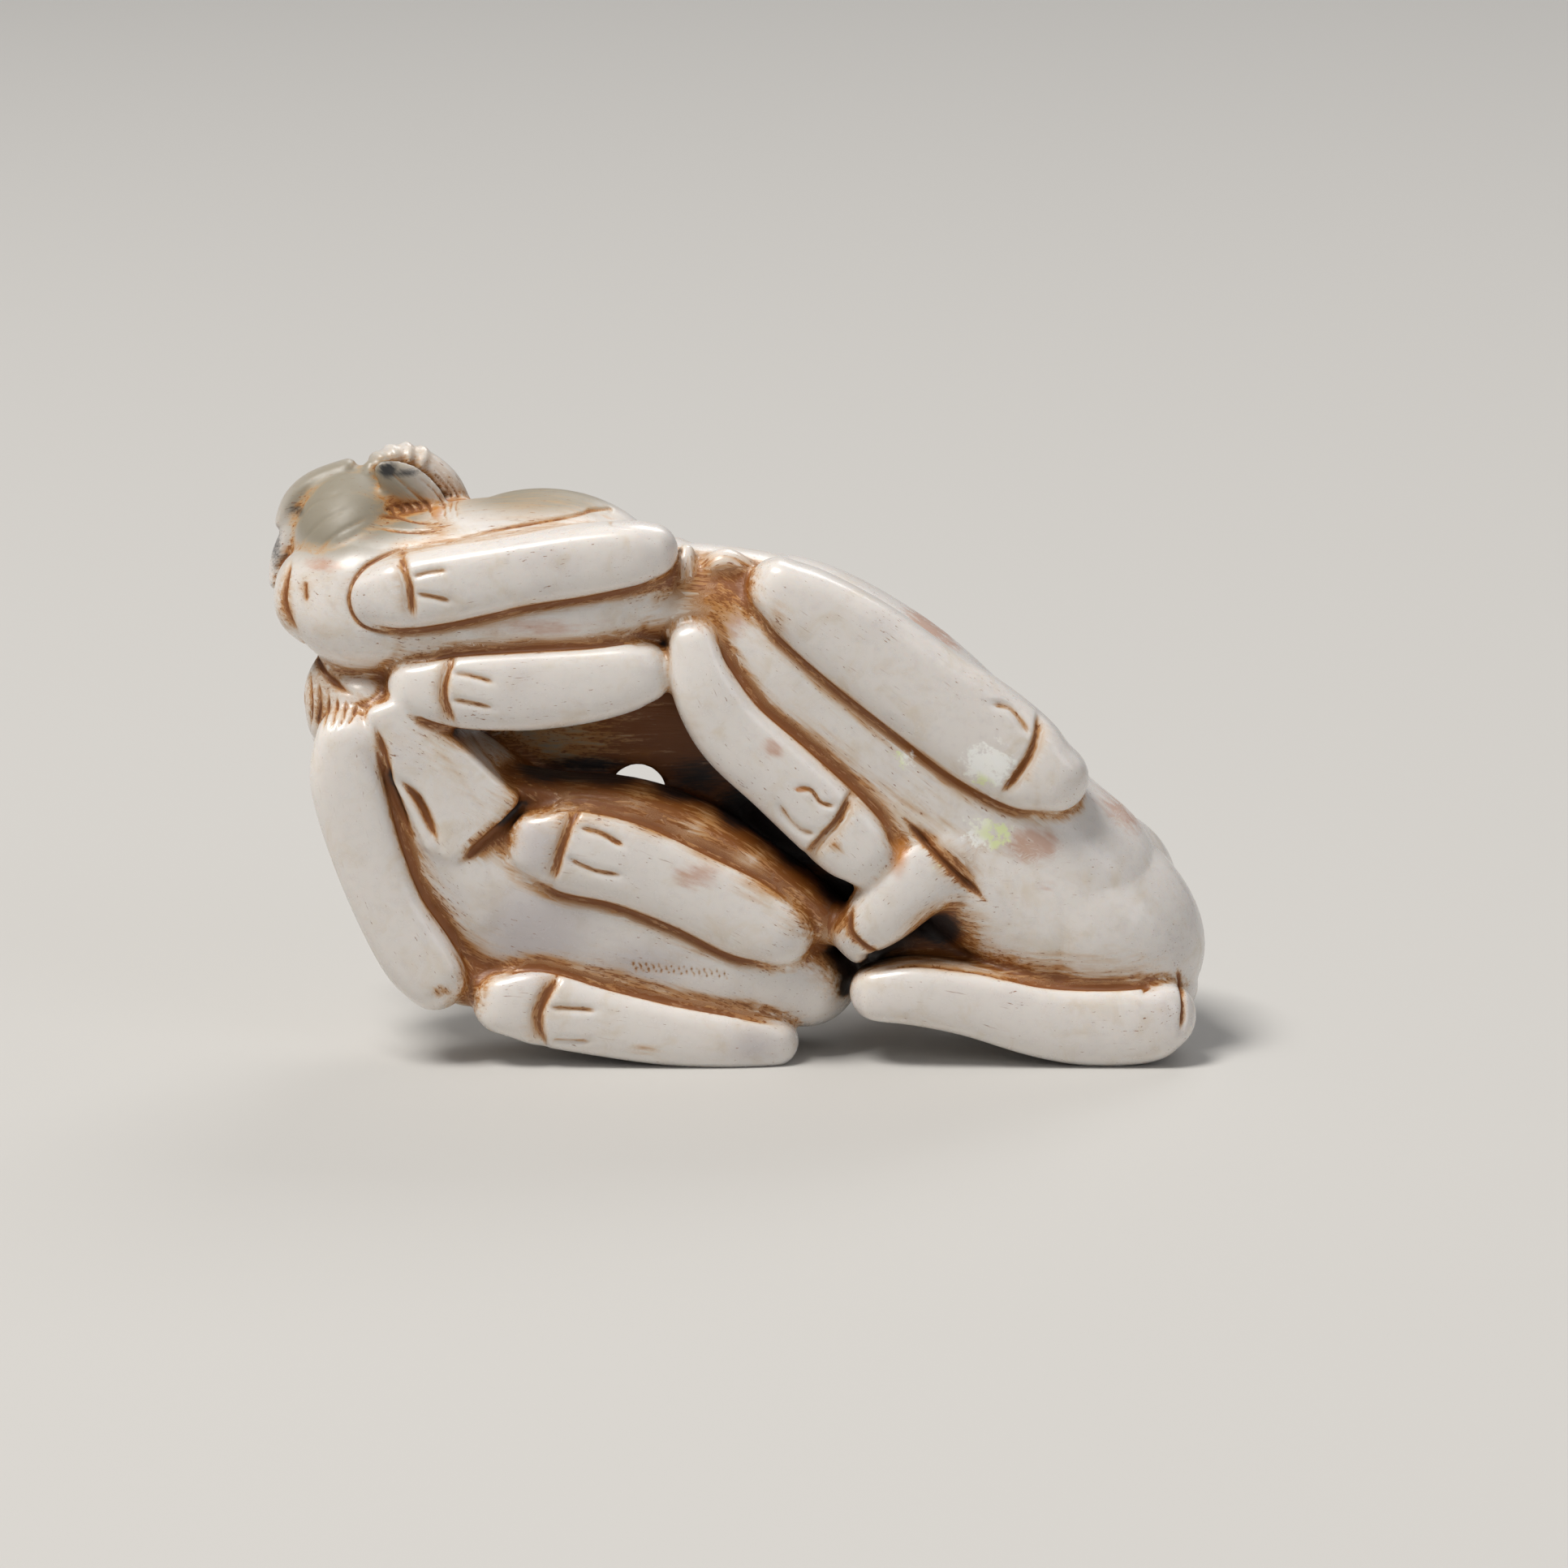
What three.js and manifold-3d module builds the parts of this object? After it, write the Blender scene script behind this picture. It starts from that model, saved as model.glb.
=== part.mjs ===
// A carved jade group of three recumbent rams, worked from one pebble and lying on its flank.
// The rams' folded legs and bellies face -Y, their backs and turned heads face +Y, +Z is up.
// The largest ram lies on the right. Two kids lie on the left, one above the other, and a
// pierced hole runs between the three bodies. Sizes are in millimetres.

import * as THREE from "three";
import { mergeVertices } from "three/addons/utils/BufferGeometryUtils.js";
import Module from "manifold-3d";

const wasm = await Module();
wasm.setup();

// Driving dimensions. A place is [x across, y away from the leg side, z up from the ground].
const LEG_DEPTH = 3.2; // half of a folded leg's thickness, and how far its middle lies from the front
const LEG_SQUARE = 2.5; // a polished leg is a little flatter than an ellipse
const HOOF_LINE = 0.55; // from the middle of a hoof line to its lip
const HOOF_CUT = 0.45; // how deep it is
const BODY_MID = 9.2; // how far the middle of a body lies from the front of the legs
const FOOT_TRIM = 0.4; // the worn flats that the group rests on
const KID_HEAD = 1.0;
const RAM_HEAD = 1.22; // the large ram's head against a kid's
const DRILL = { at: [-9.1, 23.0], from: 18.5, long: 20, radius: 2.4 }; // the hole between the bodies
const HORN = {
  behind: -3.0, // the middle of the curl from the poll: back, out and up
  beside: 4.8,
  above: -0.8,
  start: 30, // degrees from the way ahead to the root, and on to the tip
  sweep: 225,
  wind: [4.2, 3.0], // radius of the curl at its root and its tip
  drift: 1.2,
  wide: [1.5, 0.8],
  deep: [1.8, 0.9],
  rings: 11,
  ridge: 0.08, // how far every other ring stands out, as a share of the horn's thickness
  steps: 8,
};
const BODY_SQUARE = 2.4;
const BODY_FACETS = { sides: 12, rings: 6, square: BODY_SQUARE };
const STROKE_FACETS = { sides: 6, rings: 4, capRings: 1 }; // a slash of the carver's wheel
const GROUND_BLOCK = 300; // the side of the block that trims the underside flat
const JADE = { color: 0xe4ded2, roughness: 0.28, metalness: 0.0 };

const vec = (x, y, z) => new THREE.Vector3(x, y, z);
const AWAY = vec(0, 1, 0);

// A closed solid from positions and triangles.
function solid(positions, triangles) {
  return new wasm.Manifold(
    new wasm.Mesh({
      numProp: 3,
      vertProperties: new Float32Array(positions),
      triVerts: new Uint32Array(triangles),
    }),
  );
}

// A three.js geometry as a solid.
function solidFrom(geometry) {
  const bare = geometry.clone();
  bare.deleteAttribute("normal");
  bare.deleteAttribute("uv");
  const merged = mergeVertices(bare, 1e-4);
  return solid(merged.attributes.position.array, merged.index.array);
}

// A point of an oval section. A power of 2 is an ellipse, and a higher one is squarer.
function ovalPoint(turn, halfWide, halfDeep, square) {
  const bend = (c) => Math.sign(c) * Math.abs(c) ** (2 / square);
  return [halfWide * bend(Math.cos(turn)), halfDeep * bend(Math.sin(turn))];
}

// A limb with round ends, from stations [x, y, z, half width, half depth]. The depth of a section
// lies towards `deep`. `ripple` gives a factor on the section's size along the limb, and `hoof` is
// the share of the length at which a hoof line is cut round it.
function limb(stations, options = {}) {
  const { sides = 10, rings = 4, square = 2, deep = AWAY, ripple = () => 1, capRings = 2, hoof } = options;
  const path = new THREE.CatmullRomCurve3(stations.map(([x, y, z]) => vec(x, y, z)));
  const sizes = new THREE.CatmullRomCurve3(stations.map(([, , , w, d]) => vec(w, d, 0)));
  const sections = [];
  const addSection = (share, slide, shrink) => {
    const along = path.getTangent(share);
    const size = sizes.getPoint(share).multiplyScalar(ripple(share));
    if (share === hoof) size.subScalar(HOOF_CUT);
    const middle = path.getPoint(share).addScaledVector(along, slide * Math.min(size.x, size.y));
    sections.push({ middle, along, wide: size.x * shrink, thick: size.y * shrink });
  };
  const capAngle = (k) => (Math.PI / 2) * (k / (capRings + 0.35));
  for (let k = capRings; k > 0; k--) addSection(0, -Math.sin(capAngle(k)), Math.cos(capAngle(k)));
  const shares = Array.from({ length: rings + 1 }, (_, k) => k / rings);
  const lip = HOOF_LINE / path.getLength();
  const kept = hoof ? shares.filter((share) => Math.abs(share - hoof) > 1.5 * lip) : shares;
  const cut = hoof ? [hoof - lip, hoof, hoof + lip] : [];
  for (const share of [...kept, ...cut].sort((a, b) => a - b)) addSection(share, 0, 1);
  for (let k = 1; k <= capRings; k++) addSection(1, Math.sin(capAngle(k)), Math.cos(capAngle(k)));

  const positions = [];
  for (const { middle, along, wide, thick } of sections) {
    const depthAxis = deep.clone().addScaledVector(along, -deep.dot(along)).normalize();
    const wideAxis = vec(0, 0, 0).crossVectors(depthAxis, along);
    for (let i = 0; i < sides; i++) {
      const [w, d] = ovalPoint((2 * Math.PI * i) / sides, wide, thick, square);
      const p = middle.clone().addScaledVector(wideAxis, w).addScaledVector(depthAxis, d);
      positions.push(p.x, p.y, p.z);
    }
  }
  const triangles = [];
  const last = sections.length - 1;
  for (let r = 0; r < last; r++) {
    for (let i = 0; i < sides; i++) {
      const [a, b] = [r * sides + i, r * sides + ((i + 1) % sides)];
      triangles.push(a, b, b + sides, a, b + sides, a + sides);
    }
  }
  for (let i = 1; i < sides - 1; i++) {
    triangles.push(0, i + 1, i);
    triangles.push(last * sides, last * sides + i, last * sides + i + 1);
  }
  const made = solid(positions, triangles);
  return made.volume() < 0 ? solid(positions, triangles.reverse()) : made;
}

// An egg of half sizes [x, y, z] at a place, leaning by some degrees as seen from the front.
function egg([x, y, z], [rx, ry, rz], { detail = 10, lean = 0 } = {}) {
  const ball = new THREE.SphereGeometry(1, detail, Math.round(detail * 0.7)).scale(rx, ry, rz);
  return solidFrom(ball.rotateY(THREE.MathUtils.degToRad(lean)).translate(x, y, z));
}

// A folded leg that lies in the front plane: stations [x, z, half width] from its foot to its hock,
// with the share of its length at which the hoof line runs round it, where it shows one.
function foldedLeg(stations, { hoof } = {}) {
  const across = stations.map(([x, z, r]) => [x, LEG_DEPTH, z, r, Math.min(LEG_DEPTH, r * 1.15)]);
  return limb(across, { square: LEG_SQUARE, rings: 5, hoof });
}

// A horn that curls in the plane of `out` and `back` from its root to its tip, ringed all the way,
// and drifts along `side` as it goes. Angles are in degrees.
function horn({ centre, out, back, side, scale }) {
  const { start, sweep, wind, drift, wide, deep, rings, ridge, steps } = HORN;
  const stations = [];
  for (let k = 0; k <= steps; k++) {
    const share = k / steps;
    const turn = THREE.MathUtils.degToRad(start + sweep * share);
    const radius = THREE.MathUtils.lerp(wind[0], wind[1], share ** 2) * scale;
    const p = centre
      .clone()
      .addScaledVector(out, radius * Math.cos(turn))
      .addScaledVector(back, radius * Math.sin(turn))
      .addScaledVector(side, drift * share * scale);
    const taper = (ends) => THREE.MathUtils.lerp(ends[0], ends[1], share ** 2) * scale;
    stations.push([p.x, p.y, p.z, taper(wide), taper(deep)]);
  }
  const ripple = (share) => 1 + ridge * (Math.round(share * rings) % 2);
  return limb(stations, { sides: 6, rings, deep: side, ripple, capRings: 1 });
}

// A ram's head with its jaw, ears, horns and beard. `poll` is the back of the skull,
// `ahead` is the way it faces, and `crown` is the way the top of its head faces.
function head({ poll, ahead, crown, scale }) {
  const x = ahead.clone().normalize();
  const y = vec(0, 0, 0).crossVectors(crown, x).normalize();
  const z = vec(0, 0, 0).crossVectors(x, y);
  const at = (a, b, c) =>
    poll
      .clone()
      .addScaledVector(x, a * scale)
      .addScaledVector(y, b * scale)
      .addScaledVector(z, c * scale);
  const station = (a, b, c, w, d) => [...at(a, b, c).toArray(), w * scale, d * scale];
  const skull = [
    station(-1.6, 0, 0.0, 4.0, 4.0),
    station(2.0, 0, 0.5, 4.4, 4.1),
    station(5.4, 0, 0.0, 3.7, 3.7),
    station(8.6, 0, -0.9, 2.9, 3.0),
    station(11.4, 0, -1.6, 2.5, 2.5),
  ];
  const jaw = [station(0.6, 0, -2.8, 3.0, 2.0), station(10.4, 0, -3.4, 1.9, 1.2)];
  const strands = [
    station(9.8, 0, -3.8, 1.5, 1.3),
    station(8.6, 0, -6.4, 1.7, 1.3),
    station(6.6, 0, -8.8, 0.7, 0.6),
  ];
  const pieces = [
    limb(skull, { deep: z, sides: 8, rings: 4 }),
    limb(jaw, { deep: z, sides: 6, rings: 2, capRings: 1 }),
    limb(strands, { deep: x, sides: 6, rings: 2, capRings: 1 }),
  ];
  for (const hand of [-1, 1]) {
    const ear = [
      station(HORN.behind + 3.2, hand * (HORN.beside - 0.4), -1.2, 0.8, 0.8),
      station(HORN.behind, hand * (HORN.beside + 1.2), -1.2, 1.3, 0.8),
      station(HORN.behind - 3.4, hand * (HORN.beside + 2.0), -1.1, 0.4, 0.5),
    ];
    pieces.push(
      limb(ear, { deep: y, sides: 6, rings: 2, capRings: 1 }),
      horn({
        centre: at(HORN.behind, hand * HORN.beside, HORN.above),
        out: x,
        back: z,
        side: y.clone().multiplyScalar(hand),
        scale,
      }),
    );
  }
  return pieces;
}

// The upper kid: its rump by the large ram's tail, its breast a round bulge on the left, and its
// head laid back over its own shoulder, so that one horn and one ear show over the top edge.
function upperKid() {
  const upperHind = foldedLeg([
    [-31.9, 41.8, 2.2],
    [-29.4, 42.2, 3.1],
    [-24.6, 43.0, 3.2],
    [-19.0, 44.1, 3.0],
    [-13.4, 45.0, 3.0],
    [-9.2, 45.6, 2.7],
    [-7.6, 45.8, 2.3],
  ], { hoof: 0.19 });
  const lowerHind = foldedLeg([
    [-28.2, 33.9, 2.4],
    [-24.6, 33.7, 3.4],
    [-19.0, 33.8, 3.7],
    [-13.4, 34.3, 3.5],
    [-9.6, 35.0, 3.1],
    [-8.4, 35.2, 2.7],
  ], { hoof: 0.19 });
  const body = limb(
    [
      [-6.5, 8.6, 42.4, 3.4, 6.2],
      [-12.5, BODY_MID, 40.9, 7.6, 7.6],
      [-20.0, BODY_MID, 40.6, 8.6, 7.6],
      [-27.5, BODY_MID, 40.4, 8.0, 7.4],
      [-32.0, BODY_MID, 41.0, 7.0, 7.0],
    ],
    BODY_FACETS,
  );
  const breast = limb(
    [
      [-35.9, 9.2, 41.0, 4.8, 6.2],
      [-33.4, 8.6, 40.6, 6.2, 7.0],
      [-29.8, 8.6, 40.6, 6.4, 7.0],
      [-26.0, 9.2, 41.0, 6.0, 6.6],
    ],
    { sides: 12, square: BODY_SQUARE },
  );
  const haunch = egg([-17.4, 12.0, 41.2], [11.2, 7.6, 8.5]);
  const shoulder = egg([-27.5, 13.2, 40.2], [7.0, 6.6, 7.2]);
  const neck = egg([-34.2, 12.8, 44.8], [6.1, 8.4, 7.2], { detail: 12 });
  const nape = limb([
    [-33.0, 15.0, 45.2, 5.6, 5.6],
    [-29.6, 19.6, 44.8, 4.6, 4.6],
  ], { rings: 1, sides: 8 });
  const face = head({
    poll: vec(-29.0, 20.0, 44.2),
    ahead: vec(0.63, 0.03, -0.77),
    crown: vec(0.55, 0.68, 0.48),
    scale: KID_HEAD,
  });
  return [upperHind, lowerHind, body, breast, haunch, shoulder, neck, nape, ...face];
}

// The lower kid: it lies along the ground edge, its forelegs fold at the left, and its head is
// turned back to look along its own back.
function lowerKid() {
  const upperHind = foldedLeg([
    [-17.6, 20.2, 3.0],
    [-14.8, 19.8, 4.0],
    [-9.9, 18.7, 4.0],
    [-4.3, 16.3, 3.8],
    [0.6, 13.8, 3.8],
    [3.6, 12.3, 3.0],
  ], { hoof: 0.2 });
  const lowerHind = foldedLeg([
    [-20.8, 5.9, 2.8],
    [-17.6, 5.7, 3.6],
    [-12.0, 4.4, 3.3],
    [-6.4, 3.3, 3.0],
    [-0.8, 2.6, 2.6],
    [3.0, 2.2, 2.1],
  ], { hoof: 0.187 });
  const outerFore = foldedLeg([
    [-34.2, 29.4, 2.6],
    [-34.1, 25.9, 3.2],
    [-32.7, 20.2, 3.2],
    [-30.6, 14.5, 3.0],
    [-28.2, 10.2, 3.2],
    [-26.6, 8.0, 2.9],
  ]);
  const innerFore = foldedLeg([
    [-30.2, 30.6, 2.5],
    [-27.6, 27.4, 4.2],
    [-24.4, 24.2, 4.6],
    [-22.4, 22.6, 3.4],
  ]);
  const elbow = limb([
    [-23.0, 3.2, 25.6, 2.2, 2.6],
    [-20.4, 2.8, 24.6, 1.1, 1.8],
    [-19.4, 2.8, 24.2, 0.5, 1.4],
  ], { rings: 2, sides: 8, capRings: 1 });
  const body = limb(
    [
      [6.0, 8.8, 6.6, 4.4, 6.4],
      [0.0, 9.2, 9.2, 8.4, 7.4],
      [-8.0, BODY_MID, 12.0, 11.0, 7.6],
      [-15.5, BODY_MID, 13.6, 10.4, 7.6],
      [-22.0, BODY_MID, 16.4, 9.2, 7.6],
      [-28.0, BODY_MID, 22.6, 8.0, 7.4],
      [-31.6, 9.6, 27.4, 5.4, 6.4],
    ],
    BODY_FACETS,
  );
  const breast = limb([
    [-29.6, 7.4, 25.6, 3.6, 5.8],
    [-26.6, 7.2, 21.6, 5.0, 6.0],
    [-23.6, 7.4, 17.6, 4.6, 5.8],
  ], { square: BODY_SQUARE });
  const backEdge = limb([
    [-19.4, 7.2, 24.6, 1.4, 3.6],
    [-10.6, 6.4, 23.3, 1.9, 4.2],
    [-6.0, 6.2, 22.0, 2.0, 4.2],
    [-1.2, 6.0, 19.6, 2.0, 4.2],
    [7.2, 6.4, 12.6, 2.4, 4.2],
  ], { sides: 8 });
  const shoulder = egg([-26.6, 12.6, 17.6], [9.2, 7.4, 9.4]);
  const withers = egg([-32.4, 7.6, 32.4], [4.4, 4.6, 3.0]);
  const haunch = egg([-3.4, 13.4, 9.3], [10.6, 7.0, 9.9]);
  const neck = limb([
    [-31.0, 10.4, 25.0, 6.0, 6.4],
    [-32.4, 14.5, 27.6, 5.4, 5.6],
    [-30.0, 18.6, 27.0, 4.6, 4.8],
  ]);
  const face = head({
    poll: vec(-28.8, 19.2, 26.8),
    ahead: vec(0.84, 0.12, -0.5),
    crown: vec(0.3, 0.7, 0.62),
    scale: KID_HEAD,
  });
  const legs = [upperHind, lowerHind, outerFore, innerFore, elbow];
  return [...legs, body, breast, backEdge, shoulder, withers, haunch, neck, ...face];
}

// The large ram: its rump at the top of the group, its chest and forelegs at the lower right, and
// its neck and head turned back over its own shoulder towards the kids.
function largeRam() {
  const outerHind = foldedLeg([
    [27.4, 25.8, 2.9],
    [25.1, 27.0, 4.0],
    [20.9, 29.9, 4.5],
    [16.0, 33.4, 4.3],
    [10.4, 37.6, 4.1],
    [5.5, 41.0, 3.4],
    [3.2, 42.6, 2.6],
  ], { hoof: 0.18 });
  const innerHind = foldedLeg([
    [11.0, 18.9, 2.8],
    [9.9, 20.0, 3.4],
    [7.6, 22.3, 3.6],
    [3.4, 26.3, 3.5],
    [-0.8, 30.2, 3.4],
    [-3.3, 34.5, 2.9],
    [-4.1, 37.8, 2.2],
  ], { hoof: 0.31 });
  const outerFore = foldedLeg([
    [11.9, 6.7, 2.5],
    [15.3, 6.8, 2.9],
    [20.2, 6.0, 3.1],
    [25.8, 4.5, 3.4],
    [30.7, 3.9, 3.7],
    [35.4, 4.1, 3.6],
    [36.9, 4.6, 3.0],
  ]);
  const innerFore = foldedLeg([
    [9.8, 11.6, 2.2],
    [10.9, 12.6, 2.6],
    [12.6, 14.3, 3.1],
    [15.2, 16.8, 3.6],
    [19.0, 19.0, 4.6],
  ], { hoof: 0.15 });
  const forearm = limb([
    [37.2, 8.6, 6.0, 3.2, 4.6],
    [30.0, 9.6, 7.0, 5.4, 5.8],
    [20.0, 10.4, 8.6, 5.4, 5.4],
    [12.0, 10.4, 9.4, 3.4, 4.4],
  ]);
  const body = limb(
    [
      [-3.4, 8.6, 41.4, 3.4, 6.0],
      [2.5, 9.0, 37.0, 8.0, 7.4],
      [10.0, BODY_MID, 30.6, 10.0, 7.8],
      [17.0, BODY_MID, 25.2, 9.8, 8.0],
      [24.0, BODY_MID, 19.4, 8.6, 8.2],
      [29.5, BODY_MID, 15.0, 9.0, 8.2],
    ],
    BODY_FACETS,
  );
  const belly = limb([
    [10.0, 7.4, 25.6, 3.2, 5.8],
    [16.0, 7.4, 21.2, 5.4, 6.0],
    [22.0, 8.2, 16.8, 7.6, 7.2],
    [28.0, 9.0, 13.4, 8.6, 8.2],
  ], { square: BODY_SQUARE });
  const chest = egg([29.8, 9.2, 12.6], [12.2, 8.4, 8.6], { detail: 12, lean: 35 });
  const haunch = egg([5.0, 12.8, 33.0], [9.4, 7.8, 9.2]);
  const shoulder = egg([22.0, 13.8, 13.0], [9.6, 8.6, 10.0]);
  const neck = limb([
    [31.0, 12.0, 13.4, 8.0, 7.8],
    [30.0, 18.0, 13.8, 6.8, 6.6],
    [24.0, 21.6, 15.2, 5.8, 5.6],
    [18.0, 21.6, 16.6, 5.2, 5.2],
  ]);
  const rumps = limb([
    [-9.5, 8.8, 40.6, 4.6, 6.0],
    [-3.6, 8.6, 40.6, 4.9, 6.0],
    [2.6, 8.8, 39.6, 4.8, 6.0],
  ]);
  const tail = limb([
    [-4.9, 4.6, 42.2, 1.2, 1.6],
    [-3.0, 5.4, 43.9, 1.2, 1.5],
    [-1.0, 5.3, 44.2, 1.2, 1.6],
    [0.6, 5.6, 43.4, 1.0, 1.5],
  ], { rings: 4, sides: 6, capRings: 1 });
  const face = head({
    poll: vec(16.0, 21.4, 17.4),
    ahead: vec(-0.8, 0.02, 0.6),
    crown: vec(0.1, 1, 0.12),
    scale: RAM_HEAD,
  });
  const legs = [outerHind, innerHind, outerFore, innerFore, forearm];
  return [...legs, body, belly, chest, haunch, shoulder, neck, rumps, tail, ...face];
}

// All that lies below the ground plane, as one block to cut away.
function ground() {
  const block = new THREE.BoxGeometry(GROUND_BLOCK, GROUND_BLOCK, GROUND_BLOCK);
  return solidFrom(block.translate(0, 0, FOOT_TRIM - GROUND_BLOCK / 2));
}

// What the carver left standing between the three bodies, deep behind their legs.
function web() {
  return [
    egg([-8.0, 14.6, 26.6], [15.0, 4.6, 10.4]),
    egg([6.4, 13.6, 19.4], [6.4, 4.6, 6.4]),
    egg([8.8, 13.0, 14.6], [5.4, 5.2, 5.4]),
  ];
}

// The hole drilled through the web, and the two long slashes in the front.
function cuts() {
  const [x, z] = DRILL.at;
  const drill = new THREE.CylinderGeometry(DRILL.radius, DRILL.radius, DRILL.long, 10);
  const crescent = [
    [-29.7, 1.4, 25.6, 0.5, 0.7],
    [-27.2, 1.0, 22.8, 0.7, 0.9],
    [-25.8, 1.4, 20.2, 0.5, 0.7],
  ];
  const slash = [
    [15.4, 1.4, 21.8, 0.4, 0.7],
    [17.9, 1.1, 19.2, 0.6, 0.9],
    [20.4, 1.4, 16.6, 0.4, 0.7],
  ];
  return [
    solidFrom(drill.translate(x, DRILL.from, z)),
    limb(crescent, STROKE_FACETS),
    limb(slash, STROKE_FACETS),
  ];
}

// The whole group in one piece, centred over its footprint.
function carve() {
  const forms = [...upperKid(), ...lowerKid(), ...largeRam(), ...web()];
  const away = [...cuts(), ground()];
  const carved = wasm.Manifold.union(forms).subtract(wasm.Manifold.union(away));
  const [whole] = carved.decompose().sort((a, b) => b.volume() - a.volume());
  const { numProp, vertProperties, triVerts } = whole.getMesh();
  const positions = [];
  for (let i = 0; i < vertProperties.length; i += numProp) {
    positions.push(vertProperties[i], vertProperties[i + 1], vertProperties[i + 2]);
  }
  const geometry = new THREE.BufferGeometry();
  geometry.setAttribute("position", new THREE.Float32BufferAttribute(positions, 3));
  geometry.setIndex([...triVerts]);
  geometry.computeBoundingBox();
  const { min, max } = geometry.boundingBox;
  geometry.translate(-(min.x + max.x) / 2, -(min.y + max.y) / 2, -min.z);
  geometry.computeVertexNormals();
  return geometry;
}

const group = new THREE.Group();
const carving = new THREE.Mesh(carve(), new THREE.MeshStandardMaterial(JADE));
carving.name = "ram_carving";
group.add(carving);

export default group;
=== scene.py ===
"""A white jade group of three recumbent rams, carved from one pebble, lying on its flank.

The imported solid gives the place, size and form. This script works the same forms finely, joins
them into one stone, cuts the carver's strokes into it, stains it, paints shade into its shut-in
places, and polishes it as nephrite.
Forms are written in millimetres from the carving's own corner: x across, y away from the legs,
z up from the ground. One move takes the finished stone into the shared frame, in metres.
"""

import logging
import math
from dataclasses import dataclass, field
from enum import Enum

import bmesh
import bpy
import numpy as np
from mathutils import Matrix, Vector
from mathutils.bvhtree import BVHTree
from mathutils.kdtree import KDTree


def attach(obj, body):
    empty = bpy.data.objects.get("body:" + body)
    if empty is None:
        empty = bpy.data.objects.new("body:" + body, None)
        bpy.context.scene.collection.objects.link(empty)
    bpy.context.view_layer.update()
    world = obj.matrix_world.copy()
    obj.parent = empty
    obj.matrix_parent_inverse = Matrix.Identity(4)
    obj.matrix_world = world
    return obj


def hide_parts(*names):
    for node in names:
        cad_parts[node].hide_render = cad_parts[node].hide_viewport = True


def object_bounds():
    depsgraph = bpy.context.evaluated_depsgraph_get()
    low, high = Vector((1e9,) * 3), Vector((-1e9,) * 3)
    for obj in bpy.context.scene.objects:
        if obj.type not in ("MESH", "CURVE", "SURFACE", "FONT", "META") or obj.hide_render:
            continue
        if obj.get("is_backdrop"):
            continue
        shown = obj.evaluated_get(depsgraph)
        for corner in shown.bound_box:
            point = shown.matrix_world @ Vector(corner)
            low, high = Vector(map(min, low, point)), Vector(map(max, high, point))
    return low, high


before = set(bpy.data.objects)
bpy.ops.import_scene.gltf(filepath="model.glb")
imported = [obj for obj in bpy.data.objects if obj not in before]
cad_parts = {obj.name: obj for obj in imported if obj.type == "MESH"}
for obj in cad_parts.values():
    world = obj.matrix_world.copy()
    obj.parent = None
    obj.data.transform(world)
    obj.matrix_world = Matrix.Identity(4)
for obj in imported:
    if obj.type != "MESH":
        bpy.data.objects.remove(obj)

LOG = logging.getLogger("ram_carving")
NODE = "ram_carving"
MM = 0.001
INTO_FRAME = Vector((-0.073, -14.127, -0.4))  # from the carving's corner to the frame's origin, in mm

STEP_SLOPE = 2.6  # how much longer the slope on a step's ground side is
LEG_DEPTH = 3.2  # half of a folded leg's thickness, and how far its middle lies from the front
FAR_SIDE = 30.0  # where strokes on the far side start from, beyond the stone
POINT_GAP = 0.2  # between the points of a stroke that are cast onto the stone
SIDES = 16  # of a limb's ring before it is subdivided
CAP_RINGS = 3  # that round each end of a limb
BORDER_POINTS = 60  # along a limb, from which the groove beside it is taken
GUIDE_POINTS = 9  # on a straight guide for the grain
TIMES = {"operation": "MULTIPLY"}
TIMES_PLUS = {"operation": "MULTIPLY_ADD"}  # the first value times the second, plus the third

Spot = tuple[float, float, float]


class Cut(Enum):
    """The kinds of tool mark on the stone."""

    GROOVE = "a narrow wheel-cut groove with soft lips"
    STEP = "a groove with a long slope on its right side, seen along the stroke, as above a hoof"


class Tone(Enum):
    """The colours that lie in patches in the pebble or on it, and the painted shade that umber and ink lay
    in the hole and the opening, each with its attribute and place there.
    """

    GREY_GREEN = ("tones", 0)
    LILAC = ("tones", 1)
    RUST = ("tones", 2)
    INK_AND_SHADE = ("marks", 0)
    CHALK = ("marks", 1)
    AMBER = ("marks", 2)
    UMBER_AND_SHADE = ("umber", 0)


@dataclass(frozen=True)
class Patch:
    """A soft-edged patch of one tone."""

    tone: Tone
    at: Spot
    reach: Spot
    strength: float

    def cover(self, places: np.ndarray) -> np.ndarray:
        """Gives how strongly the patch colours each of some places, in millimetres."""
        offset = (places - np.array(self.at)) / np.array(self.reach)
        return self.strength * np.exp(-(offset**2).sum(axis=1))


def patches_of(table: dict[Tone, list[tuple[float, ...]]]) -> list[Patch]:
    """Gives the patches of a table, whose rows are (x, y, z, reach along each, strength)."""
    return [Patch(tone, row[:3], row[3:6], row[6]) for tone, rows in table.items() for row in rows]


def curve_points(stops: list | np.ndarray, count: int) -> np.ndarray:
    """Gives evenly spread points of the smooth curve that passes through some stops.

    Args:
        stops: The stops, one a row, with any number of values each.
        count: How many points to give.

    Returns:
        The points, one a row.
    """
    rows = np.asarray(stops, float)
    padded = np.vstack([2 * rows[0] - rows[1], rows, 2 * rows[-1] - rows[-2]])
    at = np.linspace(0, len(rows) - 1, count)
    first = np.minimum(at.astype(int), len(rows) - 2)
    t = (at - first)[:, None]
    a, b, c, d = (padded[first + k] for k in range(4))
    cubic = (3 * b - a - 3 * c + d) * t**3
    return 0.5 * (2 * b + (c - a) * t + (2 * a - 5 * b + 4 * c - d) * t**2 + cubic)


def unit(rows: np.ndarray) -> np.ndarray:
    """Scales each row to length one."""
    return rows / np.maximum(np.linalg.norm(rows, axis=-1, keepdims=True), 1e-12)


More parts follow.
